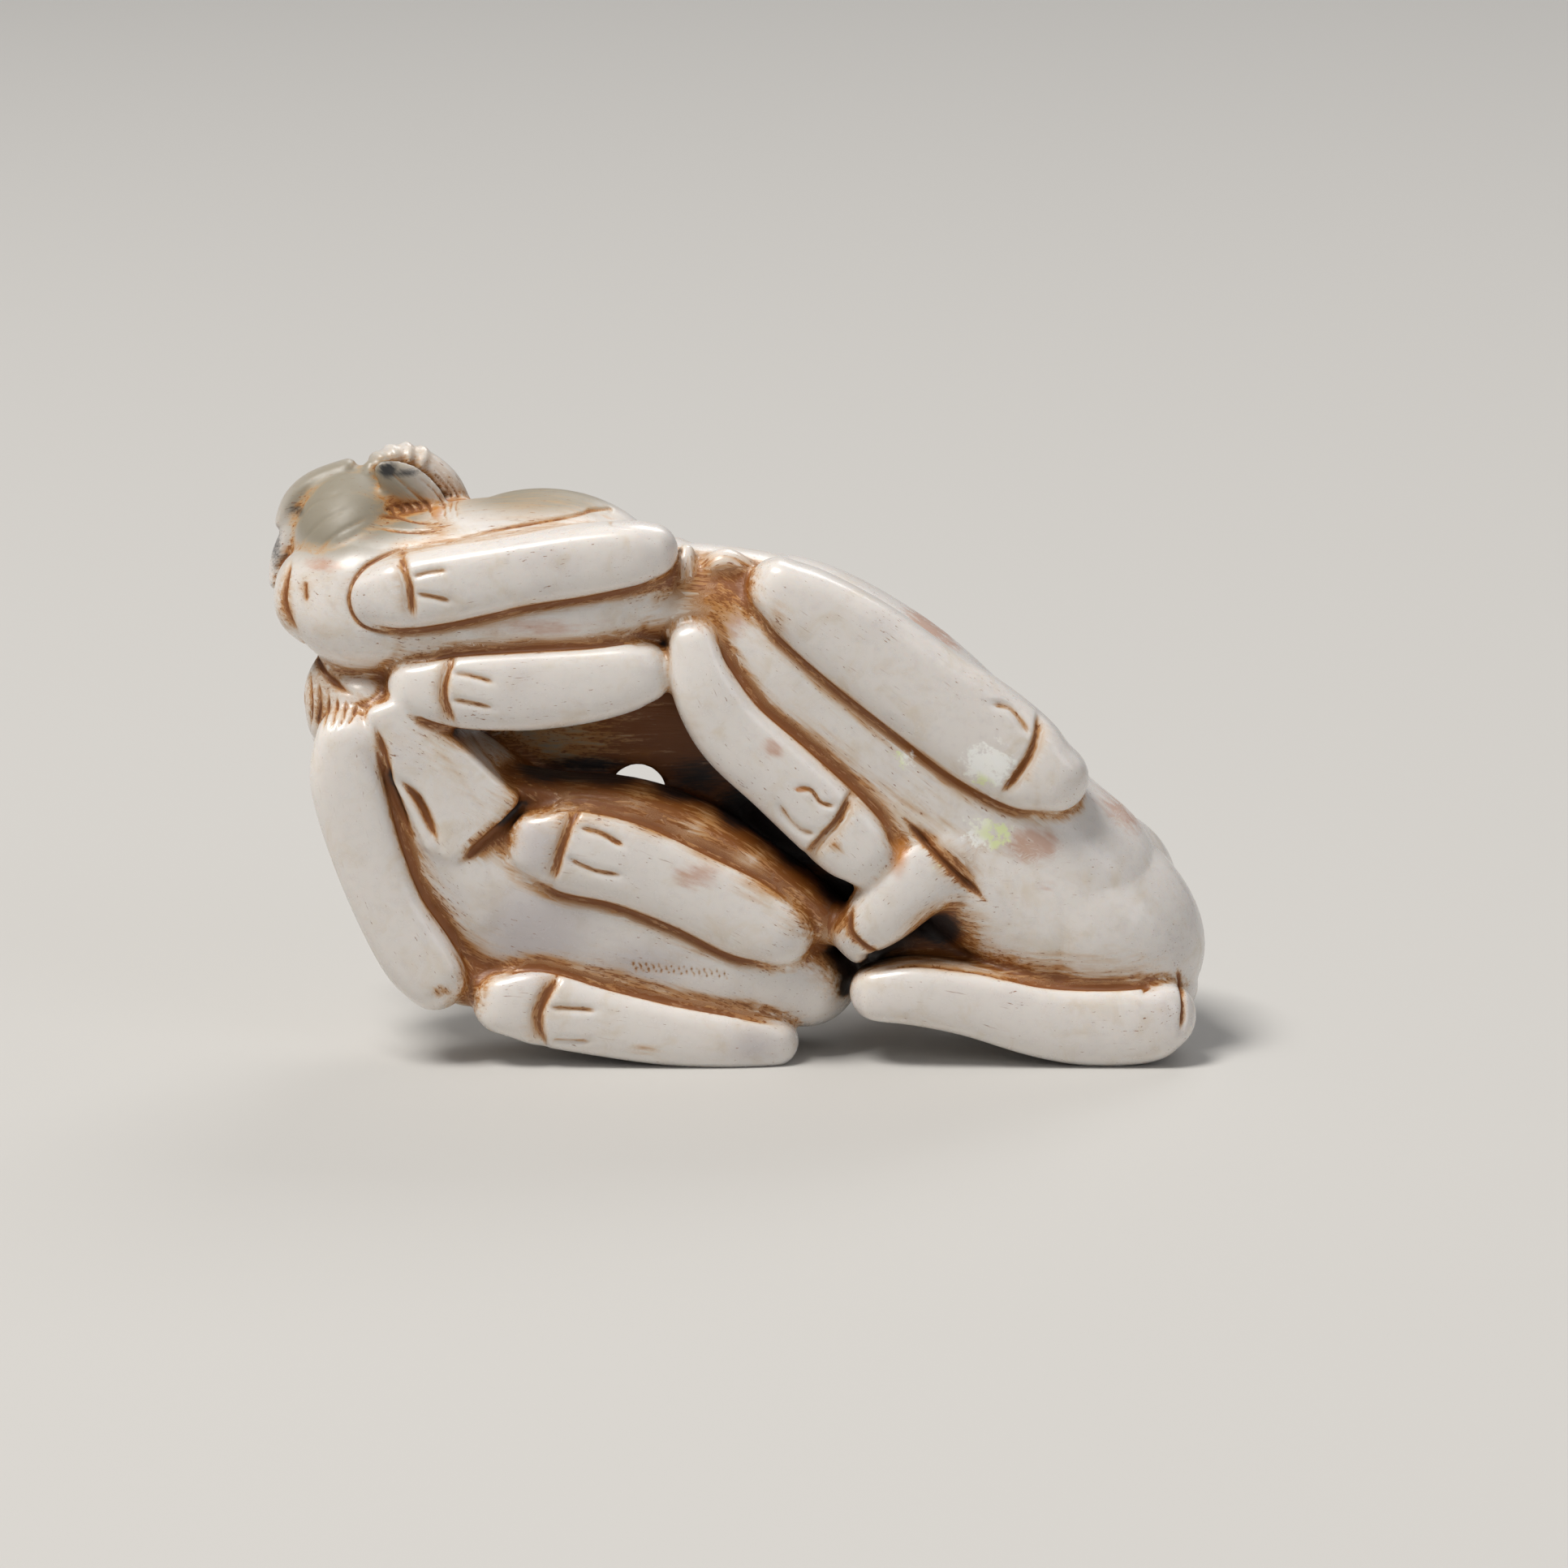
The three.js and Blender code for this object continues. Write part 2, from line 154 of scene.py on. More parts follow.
def smooth_step(low: float, high: float, values: np.ndarray) -> np.ndarray:
    """Rises smoothly from 0 at low to 1 at high."""
    t = np.clip((values - low) / (high - low), 0, 1)
    return t * t * (3 - 2 * t)


def deselect_all() -> None:
    """Leaves no object selected, so that an operator acts only on what is added next."""
    bpy.ops.object.select_all(action="DESELECT")


def apply_modifier(piece: bpy.types.Object, kind: str, **settings: object) -> None:
    """Adds one modifier to a piece and applies it.

    Args:
        piece: The object.
        kind: The modifier's type.
        settings: The modifier's own settings.
    """
    deselect_all()
    piece.select_set(True)
    bpy.context.view_layer.objects.active = piece
    modifier = piece.modifiers.new(kind.lower(), kind)
    for name, value in settings.items():
        setattr(modifier, name, value)
    bpy.ops.object.modifier_apply(modifier=modifier.name)


@dataclass
class Stroke:
    """One mark of the carver's wheel.

    The points are cast onto the stone along `look`, and the stone is lowered beside the line
    that they give. `stain` is how much dirt has stayed in the mark. What lies more than `deepest`
    beyond the points is left alone.
    """

    points: list[Spot]
    width: float
    depth: float
    look: Spot = (0, 1, 0)
    kind: Cut = Cut.GROOVE
    stain: float = 0.35
    taper: float = 0.25
    back: float = 12.0
    deepest: float = 9.0

    def line(self) -> np.ndarray:
        """Gives close points along the stroke, in millimetres."""
        rough = np.array(self.points, float)
        length = float(np.linalg.norm(np.diff(rough, axis=0), axis=1).sum())
        return curve_points(rough, max(6, int(length / POINT_GAP)))


@dataclass
class Guide:
    """The run of the grain under one form: a line with the two axes across it."""

    line: np.ndarray
    wide: np.ndarray
    deep: np.ndarray
    radius: np.ndarray

    @classmethod
    def straight(cls, line: np.ndarray, along: np.ndarray, radius: float) -> "Guide":
        """Gives the run along a straight line, with its depth away from the camera."""
        deep = np.array([0.0, 1.0, 0.0])
        deep = unit(deep - along * (along @ deep))
        wide = np.cross(deep, along)
        count = len(line)
        return cls(line, np.tile(wide, (count, 1)), np.tile(deep, (count, 1)), np.full(count, radius))


@dataclass
class Limb:
    """A length of stone with round ends, swept through stations.

    Each station is (x, y, z, half width, half depth). A section's depth lies towards `deep`.
    `square` of 2 gives an ellipse and more gives a flatter front. `ripple` swells the sections
    in turn, as on a ringed horn, past the share of its length that is `plain`.
    """

    stations: list[tuple[float, ...]]
    deep: Spot = (0, 1, 0)
    square: float = 2.0
    steps: int = 3
    ripple: float = 0.0
    rings: float = 0.0
    plain: float = 0.0

    def sections(self) -> list[Matrix]:
        """Gives the matrix that places the unit ring at each section, from end to end."""
        line = curve_points(self.stations, 1 + (len(self.stations) - 1) * self.steps)
        middle, wide, thick = line[:, :3], line[:, 3], line[:, 4]
        along = unit(np.gradient(middle, axis=0))
        if self.ripple:
            share = np.linspace(0, 1, len(line))
            wave = np.abs(np.sin(math.pi * self.rings * share)) - 0.5
            swell = 1 + self.ripple * wave * smooth_step(self.plain, self.plain + 0.1, share)
            wide, thick = wide * swell, thick * swell
        angles = [math.pi / 2 * k / (CAP_RINGS + 0.35) for k in range(1, CAP_RINGS + 1)]
        ends = [(0, -math.sin(a), math.cos(a)) for a in reversed(angles)]
        ends += [(k, 0.0, 1.0) for k in range(len(line))]
        ends += [(len(line) - 1, math.sin(a), math.cos(a)) for a in angles]
        limit = 3 / (2 + math.cos(2 * math.pi / SIDES))  # subdivision draws the ring in by this
        placed = []
        for k, slide, shrink in ends:
            tangent = Vector(along[k])
            depth = Vector(self.deep) - tangent * Vector(self.deep).dot(tangent)
            depth.normalize()
            across = depth.cross(tangent)
            centre = Vector(middle[k]) + tangent * slide * min(wide[k], thick[k])
            columns = (
                across * wide[k] * shrink * limit,
                depth * thick[k] * shrink * limit,
                tangent,
                centre,
            )
            matrix = Matrix.Identity(4)
            for column, vector in enumerate(columns):
                for row in range(3):
                    matrix[row][column] = vector[row]
            placed.append(matrix)
        return placed

    def shape(self) -> bpy.types.Object:
        """Extrudes one ring through the sections and rounds it by subdivision.

        Returns:
            The closed form as an object, in millimetres.
        """
        deselect_all()
        bpy.ops.mesh.primitive_circle_add(vertices=SIDES, radius=1, fill_type="NGON")
        piece = bpy.context.object
        bpy.ops.object.mode_set(mode="EDIT")
        for vert in bmesh.from_edit_mesh(piece.data).verts:
            for axis in (0, 1):
                side = vert.co[axis]
                vert.co[axis] = math.copysign(abs(side) ** (2 / self.square), side)
        before = Matrix.Identity(4)
        for number, section in enumerate(self.sections()):
            if number:
                bpy.ops.mesh.extrude_region_move()
            step = section @ before.inverted()
            for vert in bmesh.from_edit_mesh(piece.data).verts:
                if vert.select:
                    vert.co = step @ vert.co
            before = section
        bpy.ops.mesh.select_all(action="SELECT")
        bpy.ops.mesh.normals_make_consistent(inside=False)
        bpy.ops.object.mode_set(mode="OBJECT")
        apply_modifier(piece, "SUBSURF", levels=2, render_levels=2)
        return piece

    def border(self, hand: int, start: float, end: float, beyond: float = 0.1) -> Stroke:
        """Gives the groove along one border of the limb, as seen from the leg side.

        Args:
            hand: 1 for the right of the limb, seen along it from its first station, or -1.
            start: The share of its length where the groove begins.
            end: The share where it ends.
            beyond: How far outside the limb's edge the groove lies, in millimetres.

        Returns:
            The stroke.
        """
        line = curve_points(self.stations, BORDER_POINTS)
        last = BORDER_POINTS - 1
        keep = line[int(start * last) : int(end * last) + 1]
        along = unit(np.gradient(keep[:, :3], axis=0))
        right = np.cross((0.0, 1.0, 0.0), along)
        edge = keep[:, :3] + right * hand * (keep[:, 3:4] + beyond)
        edge[:, 1] = 0
        points = [tuple(point) for point in edge[::hand]]
        return Stroke(points, 0.36, 0.32, kind=Cut.STEP, stain=0.2, taper=0.12, deepest=8.0)

    def guide(self) -> Guide:
        """Gives the limb's own line as the run of the grain."""
        line = curve_points(self.stations, 1 + (len(self.stations) - 1) * 4)
        along = unit(np.gradient(line[:, :3], axis=0))
        deep = np.array(self.deep, float)
        deep = unit(deep - along * (along @ deep)[:, None])
        return Guide(line[:, :3], np.cross(deep, along), deep, line[:, 3:].mean(axis=1))


@dataclass
class Egg:
    """A rounded mass with its half sizes, its grain running along `grain`."""

    at: Spot
    radii: Spot
    grain: Spot = (1, 0, 0)
    turn: Spot = (0, 0, 0)

    def shape(self) -> bpy.types.Object:
        """Adds a sphere, stretches it and sets it in its place.

        Returns:
            The closed form as an object, in millimetres.
        """
        deselect_all()
        turn = tuple(math.radians(a) for a in self.turn)
        bpy.ops.mesh.primitive_uv_sphere_add(
            segments=40, ring_count=26, radius=1, location=self.at, rotation=turn
        )
        piece = bpy.context.object
        piece.scale = self.radii
        bpy.ops.object.transform_apply(location=True, rotation=True, scale=True)
        return piece

    def guide(self) -> Guide:
        """Gives a short line through the middle as the run of the grain."""
        along = unit(np.array(self.grain, float))
        reach = float(np.abs(along) @ np.array(self.radii)) * 0.6
        line = np.array(self.at) + np.linspace(-reach, reach, GUIDE_POINTS)[:, None] * along
        return Guide.straight(line, along, float(np.mean(self.radii)))


@dataclass
class Plate:
    """A flat-fronted mass with a drawn outline and soft edges."""

    outline: list[tuple[float, float]]
    front: float
    depth: float
    edge: float = 1.0
    lean: tuple[float, float] = (0.0, 0.0)

    def shape(self) -> bpy.types.Object:
        """Fills the outline, extrudes it away from the camera and bevels every edge.

        Returns:
            The closed form as an object, in millimetres.
        """
        deselect_all()
        bpy.ops.mesh.primitive_circle_add(vertices=len(self.outline), radius=1, fill_type="NGON")
        piece = bpy.context.object
        middle = np.mean(self.outline, axis=0)
        bpy.ops.object.mode_set(mode="EDIT")
        for vert, (x, z) in zip(bmesh.from_edit_mesh(piece.data).verts, self.outline):
            back = self.lean[0] * (x - middle[0]) + self.lean[1] * (z - middle[1])
            vert.co = (x, self.front + back, z)
        bpy.ops.mesh.extrude_region_move(TRANSFORM_OT_translate={"value": (0, self.depth, 0)})
        bpy.ops.mesh.select_all(action="SELECT")
        bpy.ops.mesh.normals_make_consistent(inside=False)
        bpy.ops.mesh.bevel(offset=self.edge, segments=4, profile=0.6, affect="EDGES")
        bpy.ops.object.mode_set(mode="OBJECT")
        return piece

    def guide(self) -> Guide:
        """Gives a line from the outline's first corner to its far one as the run of the grain."""
        corners_3d = np.array([(x, self.front + 1.0, z) for x, z in self.outline])
        far = corners_3d[np.linalg.norm(corners_3d - corners_3d[0], axis=1).argmax()]
        line = np.linspace(corners_3d[0], far, GUIDE_POINTS)
        return Guide.straight(line, unit(line[-1] - line[0]), 3.0)


Form = Limb | Egg | Plate


def front(points: list[tuple[float, float]], width: float, depth: float, **more: object) -> Stroke:
    """Gives a stroke on the leg side, from points (x, z)."""
    return Stroke([(x, 0.0, z) for x, z in points], width, depth, **more)


def behind(points: list[tuple[float, float]], width: float, depth: float, **more: object) -> Stroke:
    """Gives a stroke on the far side, from points (x, z)."""
    return Stroke([(x, FAR_SIDE, z) for x, z in points], width, depth, (0, -1, 0), deepest=26, **more)


def hoof_line(points: list[tuple[float, float]], width: float = 0.5, depth: float = 0.42) -> Stroke:
    """Gives the stepped cut between a hoof and its leg."""
    return front(points, width, depth, kind=Cut.STEP, stain=0.3)


def toe_mark(points: list[tuple[float, float]], width: float = 0.55, depth: float = 0.3) -> Stroke:
    """Gives one of the short clean marks above a hoof."""
    return front(points, width, depth, stain=0.08)


def folded_leg(stations: list[tuple[float, float, float]], square: float = 3.3) -> Limb:
    """Gives a folded leg that lies in the front plane.

    Args:
        stations: (x, z, half width) from its foot to its hock.
        square: How flat its polished front is.

    Returns:
        The leg.
    """
    across = [(x, LEG_DEPTH, z, r, min(LEG_DEPTH, r * 1.15)) for x, z, r in stations]
    return Limb(across, square=square)


@dataclass
class Head:
    """A ram's head, placed by the back of its skull, the way it faces and the way its crown faces."""

    poll: Spot
    ahead: Spot
    crown: Spot
    scale: float = 1.0
    horn_rings: float = 9.0
    sides: tuple[int, ...] = (-1, 1)

    def __post_init__(self) -> None:
        """Works out the head's own axes: x ahead, y to its left, z out of the crown."""
        self.x = Vector(self.ahead).normalized()
        self.y = Vector(self.crown).cross(self.x).normalized()
        self.z = self.x.cross(self.y)

    def at(self, a: float, b: float, c: float) -> Spot:
        """Gives the place that lies a ahead, b to the left and c above the poll."""
        return tuple(Vector(self.poll) + (self.x * a + self.y * b + self.z * c) * self.scale)

    def stop(self, a: float, b: float, c: float, wide: float, deep: float) -> tuple[float, ...]:
        """Gives a limb's station in the head's own axes."""
        return (*self.at(a, b, c), wide * self.scale, deep * self.scale)

    def skull(self) -> list[Form]:
        """Gives the skull with its muzzle, jaw, beard, brows and eyes."""
        stop = self.stop
        ahead, left, up = tuple(self.x), tuple(self.y), tuple(self.z)
        dome = [
            stop(-1.6, 0, 0, 4, 4), stop(2, 0, 0.5, 4.4, 4.1), stop(5.4, 0, 0, 3.7, 3.7),
            stop(8.6, 0, -0.9, 2.9, 3), stop(11.4, 0, -1.6, 2.5, 2.5),
        ]
        jaw = [stop(0.6, 0, -2.8, 3, 2), stop(10.4, 0, -3.4, 1.9, 1.2)]
        beard = [stop(9.8, 0, -3.8, 1.5, 1.3), stop(8.6, 0, -6.4, 1.7, 1.3), stop(6.6, 0, -8.8, 0.7, 0.6)]
        forms: list[Form] = [Limb(dome, deep=up), Limb(jaw, deep=up), Limb(beard, deep=ahead)]
        for hand in (-1, 1):
            brow = [stop(3, hand * 3.2, 2.5, 0.8, 0.9), stop(6.2, hand * 3.2, 2.1, 0.7, 0.8)]
            eye = [stop(4.5, hand * 3.6, 0.9, 0.8, 0.7), stop(5.9, hand * 3.3, 0.8, 0.6, 0.6)]
            forms += [Limb(brow, deep=up), Limb(eye, deep=left)]
        return forms

    def horn(self, hand: int) -> Limb:
        """Gives a ringed horn that curls back, down and forward beside the skull."""
        centre = Vector(self.at(-3, hand * 4.8, -0.8))
        stations = []
        for k in range(10):
            share = k / 9
            turn = math.radians(30 + 225 * share)
            radius = (4.2 + (3.0 - 4.2) * share**2) * self.scale
            out = self.x * math.cos(turn) + self.z * math.sin(turn)
            place = centre + out * radius + self.y * (hand * 1.2 * share * self.scale)
            wide = (1.5 - 0.7 * share**2) * self.scale
            deep = (1.8 - 0.9 * share**2) * self.scale
            stations.append((*place, wide, deep))
        return Limb(stations, deep=tuple(self.y * hand), steps=6, ripple=0.3, rings=self.horn_rings)

    def ear(self, hand: int) -> Limb:
        """Gives a leaf-shaped ear that lies back inside the curl of the horn."""
        rows = ((0.2, 4.4, -1.2, 0.9, 0.8), (-2.6, 6, -1.2, 1.6, 0.7), (-6.4, 6.8, -1.1, 0.5, 0.5))
        return Limb([self.stop(a, hand * b, *rest) for a, b, *rest in rows], deep=tuple(self.y))

    def forms(self) -> list[Form]:
        """Gives every form of the head."""
        return self.skull() + [part(hand) for hand in self.sides for part in (self.horn, self.ear)]

    def graze(
        self,
        hand: int,
        profile: list[tuple[float, float]],
        width: float,
        depth: float,
        stain: float = 0.35,
        **more: float,
    ) -> Stroke:
        """Gives a cut in one side of the face.

        Args:
            hand: 1 for the left side or -1 for the right.
            profile: Places (ahead, above) on the cut.
            width: The cut's width, in millimetres.
            depth: Its depth.
            stain: How much dirt it holds.
            more: Other fields of the stroke.

        Returns:
            The stroke.
        """
        points = [self.at(a, hand * 8, c) for a, c in profile]
        more = {"deepest": 7 * self.scale, **more}
        return Stroke(points, width, depth, tuple(self.y * -hand), stain=stain, back=0, **more)

    def strokes(self) -> list[Stroke]:
        """Gives the cuts of the face: eyelids, mouth, nostrils, cheeks and the strands of the beard."""
        turns = [(math.cos(a), math.sin(a)) for a in np.linspace(0, 2 * math.pi, 13)]
        lid = [(5.1 + 1.9 * c, 0.85 + 0.8 * s - 0.25 * c) for c, s in turns]
        mouth = [(13, -2.7), (10.4, -2.9), (7.6, -2.5)]
        nostril = [(13, -1), (12.2, -0.6), (11.6, -0.9)]
        cheek = [(1.6, -0.6), (3, -2), (5.6, -2.2), (7.6, -1.2)]
        cuts = []
        for hand in (-1, 1):
            cuts += [
                self.graze(hand, lid, 0.3 * self.scale, 0.28, taper=0),
                self.graze(hand, mouth, 0.32 * self.scale, 0.35, 0.8),
                self.graze(hand, nostril, 0.32 * self.scale, 0.4, 0.9),
                self.graze(hand, cheek, 0.4 * self.scale, 0.2, 0.2),
            ]
            for k in range(3):
                strand = [(10.2 - 1.1 * k, -4.4), (9.4 - k, -6.6), (8 - 0.7 * k, -8.6)]
                cuts.append(self.graze(hand, strand, 0.28, 0.18, 0.5, deepest=8 * self.scale))
        return cuts


@dataclass
class UpperKid:
    """The kid at the upper left: rump by the large ram's tail, breast a round bulge on the left."""

    head: Head = field(
        default_factory=lambda: Head((-29, 20, 44.2), (0.63, 0.03, -0.77), (0.55, 0.68, 0.48), sides=(1,))
    )

    def legs(self) -> list[Limb]:
        """Gives the two folded hind legs."""
        upper_hind = folded_leg([
            (-31.9, 41.8, 2.2), (-29.4, 42.2, 3.1), (-24.6, 43, 3.2), (-19, 44.1, 3), (-13.4, 45, 3),
            (-9.2, 45.6, 2.7), (-7.6, 45.8, 2.3),
        ])
        lower_hind = folded_leg([
            (-28.2, 33.9, 2.4), (-24.6, 33.7, 3.4), (-19, 33.8, 3.7), (-13.4, 34.3, 3.5),
            (-9.6, 35, 3.1), (-8.4, 35.2, 2.7),
        ])
        return [upper_hind, lower_hind]

    def trunk(self) -> list[Form]:
        """Gives the trunk, breast, haunch, shoulder and neck."""
        trunk = Limb([
            (-6.5, 9.2, 42, 3.8, 6.8), (-12.5, 10, 40.9, 7.6, 8.6), (-20, 10.2, 40.6, 8.6, 8.8),
            (-27.5, 9.8, 40.4, 8, 8.4), (-32, 9.4, 41, 7, 7.4),
        ], square=2.4)
        breast = Limb([
            (-35.9, 9.2, 41, 4.8, 6.2), (-33.4, 8.6, 40.6, 6.2, 7), (-29.8, 8.6, 40.6, 6.4, 7),
            (-26, 9.2, 41, 6, 6.6),
        ], square=2.5)
        haunch = Egg((-17.4, 12, 41.2), (11.2, 7.6, 8.5))
        shoulder = Egg((-27.5, 13.2, 40.2), (7, 6.6, 7.2))
        neck = Egg((-33.8, 12.8, 44.5), (5.5, 8.2, 6.8), grain=(1, 0, 0.25))
        nape = Limb([(-33, 15, 45.2, 5.6, 5.6), (-29.6, 19.6, 44.8, 4.6, 4.6)])
        return [trunk, breast, haunch, shoulder, neck, nape]

    def crest(self) -> list[Form]:
        """Gives the near horn and ear that show over the top edge, and the locks at the left."""
        horn = Limb([
            (-24.6, 15.4, 46.4, 1.4, 1.7), (-25.9, 15.2, 49.4, 1.4, 1.8), (-27.4, 15, 51, 1.35, 1.8),
            (-28.8, 14.6, 51.9, 1.25, 1.7), (-30.2, 14.2, 52.2, 1.1, 1.6),
            (-31.6, 13.6, 51.8, 0.95, 1.4), (-32.4, 12.8, 50.9, 0.8, 1.2),
            (-32.1, 11.6, 50.2, 0.6, 0.9),
        ], steps=8, ripple=0.42, rings=9, plain=0.3)
        ear = Limb([
            (-26.3, 10.6, 47.4, 1.2, 0.7), (-27.5, 10.2, 48.8, 1.8, 0.75), (-29, 9.6, 50.2, 2, 0.7),
            (-30.3, 9.2, 51.3, 1.6, 0.55), (-31.4, 9, 52.1, 0.7, 0.35),
        ])
        pale_lock = Limb([
            (-34.4, 13.4, 51.4, 0.8, 1.6), (-37.4, 13.4, 50.1, 1, 1.8), (-39.2, 13.2, 48.5, 1, 1.5),
            (-40.2, 13, 46.6, 0.7, 1),
        ])
        dark_lock = Limb([
            (-37.6, 13, 48.2, 0.9, 1.6), (-39.2, 13, 45.9, 1, 2), (-40.4, 12.6, 43.4, 0.9, 1.6),
            (-40.8, 12, 41.4, 0.6, 1),
        ])
        tuft = Limb([(-34.4, 8.6, 35, 2.4, 3.6), (-35.8, 8.6, 32.6, 2.4, 3.4), (-36, 9, 29.6, 2, 3)])
        return [horn, ear, pale_lock, dark_lock, tuft]

    def forms(self) -> list[Form]:
        """Gives every form of the kid."""
        return [*self.legs(), *self.trunk(), *self.crest(), *self.head.forms()]

    def strokes(self) -> list[Stroke]:
        """Gives the hoof lines, toe marks, breast creases and the hair of ear and tuft."""
        upper_hind, lower_hind = self.legs()
        cuts = [
            upper_hind.border(1, 0, 1),
            lower_hind.border(-1, 0.05, 1, -0.1),
            lower_hind.border(1, 0, 0.4, -0.2),
            hoof_line([(-29, 45.6), (-28.2, 43.1), (-27.9, 39.8)]),
            toe_mark([(-28.5, 43.9), (-26.6, 44.4), (-24.8, 44.6)]),
            toe_mark([(-28.2, 42.6), (-26.4, 42.3), (-24.5, 41.8)]),
            hoof_line([(-24.6, 37.4), (-25.4, 33.9), (-24.5, 30.6)]),
            toe_mark([(-25.2, 35.7), (-23.2, 35.4), (-20.8, 34.7)]),
            toe_mark([(-25.2, 33.4), (-23.2, 33), (-21, 32.5)]),
            front(
                [(-28.8, 46.1), (-32.4, 44.4), (-33.7, 41.9), (-32.4, 39.4), (-28.2, 38.4)],
                0.32, 0.26, stain=0.06,
            ),
            front([(-39, 44.4), (-39.4, 41), (-38.2, 38)], 0.5, 0.3, deepest=14),
            behind([(-25.5, 46.5), (-27, 42), (-24.6, 37.2)], 0.6, 0.4),
            front([(-37.6, 43.2), (-37.4, 41.2)], 0.4, 0.14),
            front([(-39, 46.6), (-37, 49), (-33.8, 50.4)], 0.5, 0.1, stain=0, deepest=16),
            front([(-38.2, 45.6), (-36.2, 47.8), (-33.2, 49.2)], 0.5, 0.1, stain=0, deepest=16),
            front([(-36.6, 45.2), (-34.8, 46.9), (-31.8, 48.3)], 0.4, 0.1, stain=0, deepest=16),
            front([(-38.4, 38), (-36.2, 34.6), (-33, 32.8)], 0.5, 0.36, deepest=12),
            front(
                [(-25.2, 46.5), (-20, 47.6), (-13.5, 48.3), (-8.3, 47.9)],
                0.36, 0.18, stain=0.12, deepest=14,
            ),
            front([(-31.4, 48.1), (-28.8, 47.8), (-26.4, 47.7)], 0.36, 0.22, stain=0.08, deepest=16),
            front([(-31.4, 47.3), (-28.8, 47.1), (-26.4, 47.2)], 0.36, 0.22, stain=0.12, deepest=16),
        ]
        for k in range(7):
            top = (-38.4 + 0.85 * k, 34.9 - 0.45 * k)
            foot = (-38.3 + 0.7 * k, 29 + 0.3 * k)
            bend = ((top[0] + foot[0]) / 2 + 0.25, (top[1] + foot[1]) / 2)
            cuts.append(front([top, bend, foot], 0.26, 0.2, stain=0.2, deepest=16))
        for k in range(5):
            x, z = -26.9 - 0.75 * k, 48.9 - 0.12 * k
            arc = [(x, z - 0.5), (x - 0.5, z + 0.1), (x - 1.0, z + 0.1)]
            cuts.append(front(arc, 0.2, 0.18, stain=0.05, deepest=16))
        for k in range(4):
            side = 0.42 * (k - 1.5)
            rib = [
                (-26.8 + side * 0.5, 48.3 - side * 0.5), (-28.6 + side, 50 - side),
                (-30.5 + side * 0.8, 51.7 - side * 0.8),
            ]
            cuts.append(front(rib, 0.2, 0.16, stain=0, deepest=16))
        for k in range(3):
            x = -25.3 + 0.55 * k
            strand = [(x, 47.8), (x - 1.3, 49.9), (x - 3.1, 51.6 + 0.2 * k)]
            cuts.append(front(strand, 0.2, 0.18, stain=0, deepest=18))
        return cuts + self.head.strokes()

    def patches(self) -> list[Patch]:
        """Gives the patches of colour on the kid."""
        return patches_of({
            Tone.GREY_GREEN: [
                (-34.5, 8, 49.2, 7.4, 8, 5, 1.2), (-30, 8, 47.6, 4, 6, 2.2, 0.8),
                (-17, 10, 49.4, 9.5, 6, 1.9, 0.9), (-28.2, 10.2, 49.6, 1.4, 2.5, 1.2, 0.8),
            ],
            Tone.UMBER_AND_SHADE: [
                (-35.5, 8, 49.4, 5.4, 7, 3.4, 0.06), (-31.5, 8, 47.4, 4, 6, 1.6, 0.1),
                (-18, 8, 48.8, 8, 6, 1.8, 0.22), (-39.4, 7, 40.6, 0.9, 6, 2.6, 0.5),
                (-26.2, 7, 47.2, 1.6, 5, 0.9, 0.6), (-36.6, 9, 32.2, 2.6, 6, 2.6, 0.35),
                (-28.4, 5, 46.2, 2.4, 4, 0.7, 0.2), (-36, 5, 41, 5.4, 6, 6, 0.13),
                (-28, 14, 51.6, 4, 4, 2.4, 0.2),
            ],
            Tone.RUST: [
                (-36, 4, 44.4, 2.6, 4, 0.8, 0.9), (-32.4, 4, 46.6, 3.4, 4, 0.9, 0.5),
                (-18.5, 4, 39.4, 9, 4, 1.2, 1.2), (-17, 6, 47.7, 5, 4, 1, 0.6),
                (-12, 4, 38.6, 2, 3, 0.6, 0.7),
            ],
            Tone.AMBER: [(-26.3, 9, 48.2, 0.7, 4, 0.6, 0.9)],
            Tone.INK_AND_SHADE: [
                (-30.6, 10, 51.9, 1.1, 2, 0.9, 1.2), (-29.2, 10, 51.6, 1.5, 2, 0.5, 0.9),
                (-40.6, 13, 44, 0.9, 4, 3, 0.62), (-38.6, 12, 47.9, 1.6, 3, 0.8, 0.6),
                (-24.9, 13, 47.6, 0.7, 2, 0.4, 0.8),
            ],
        })


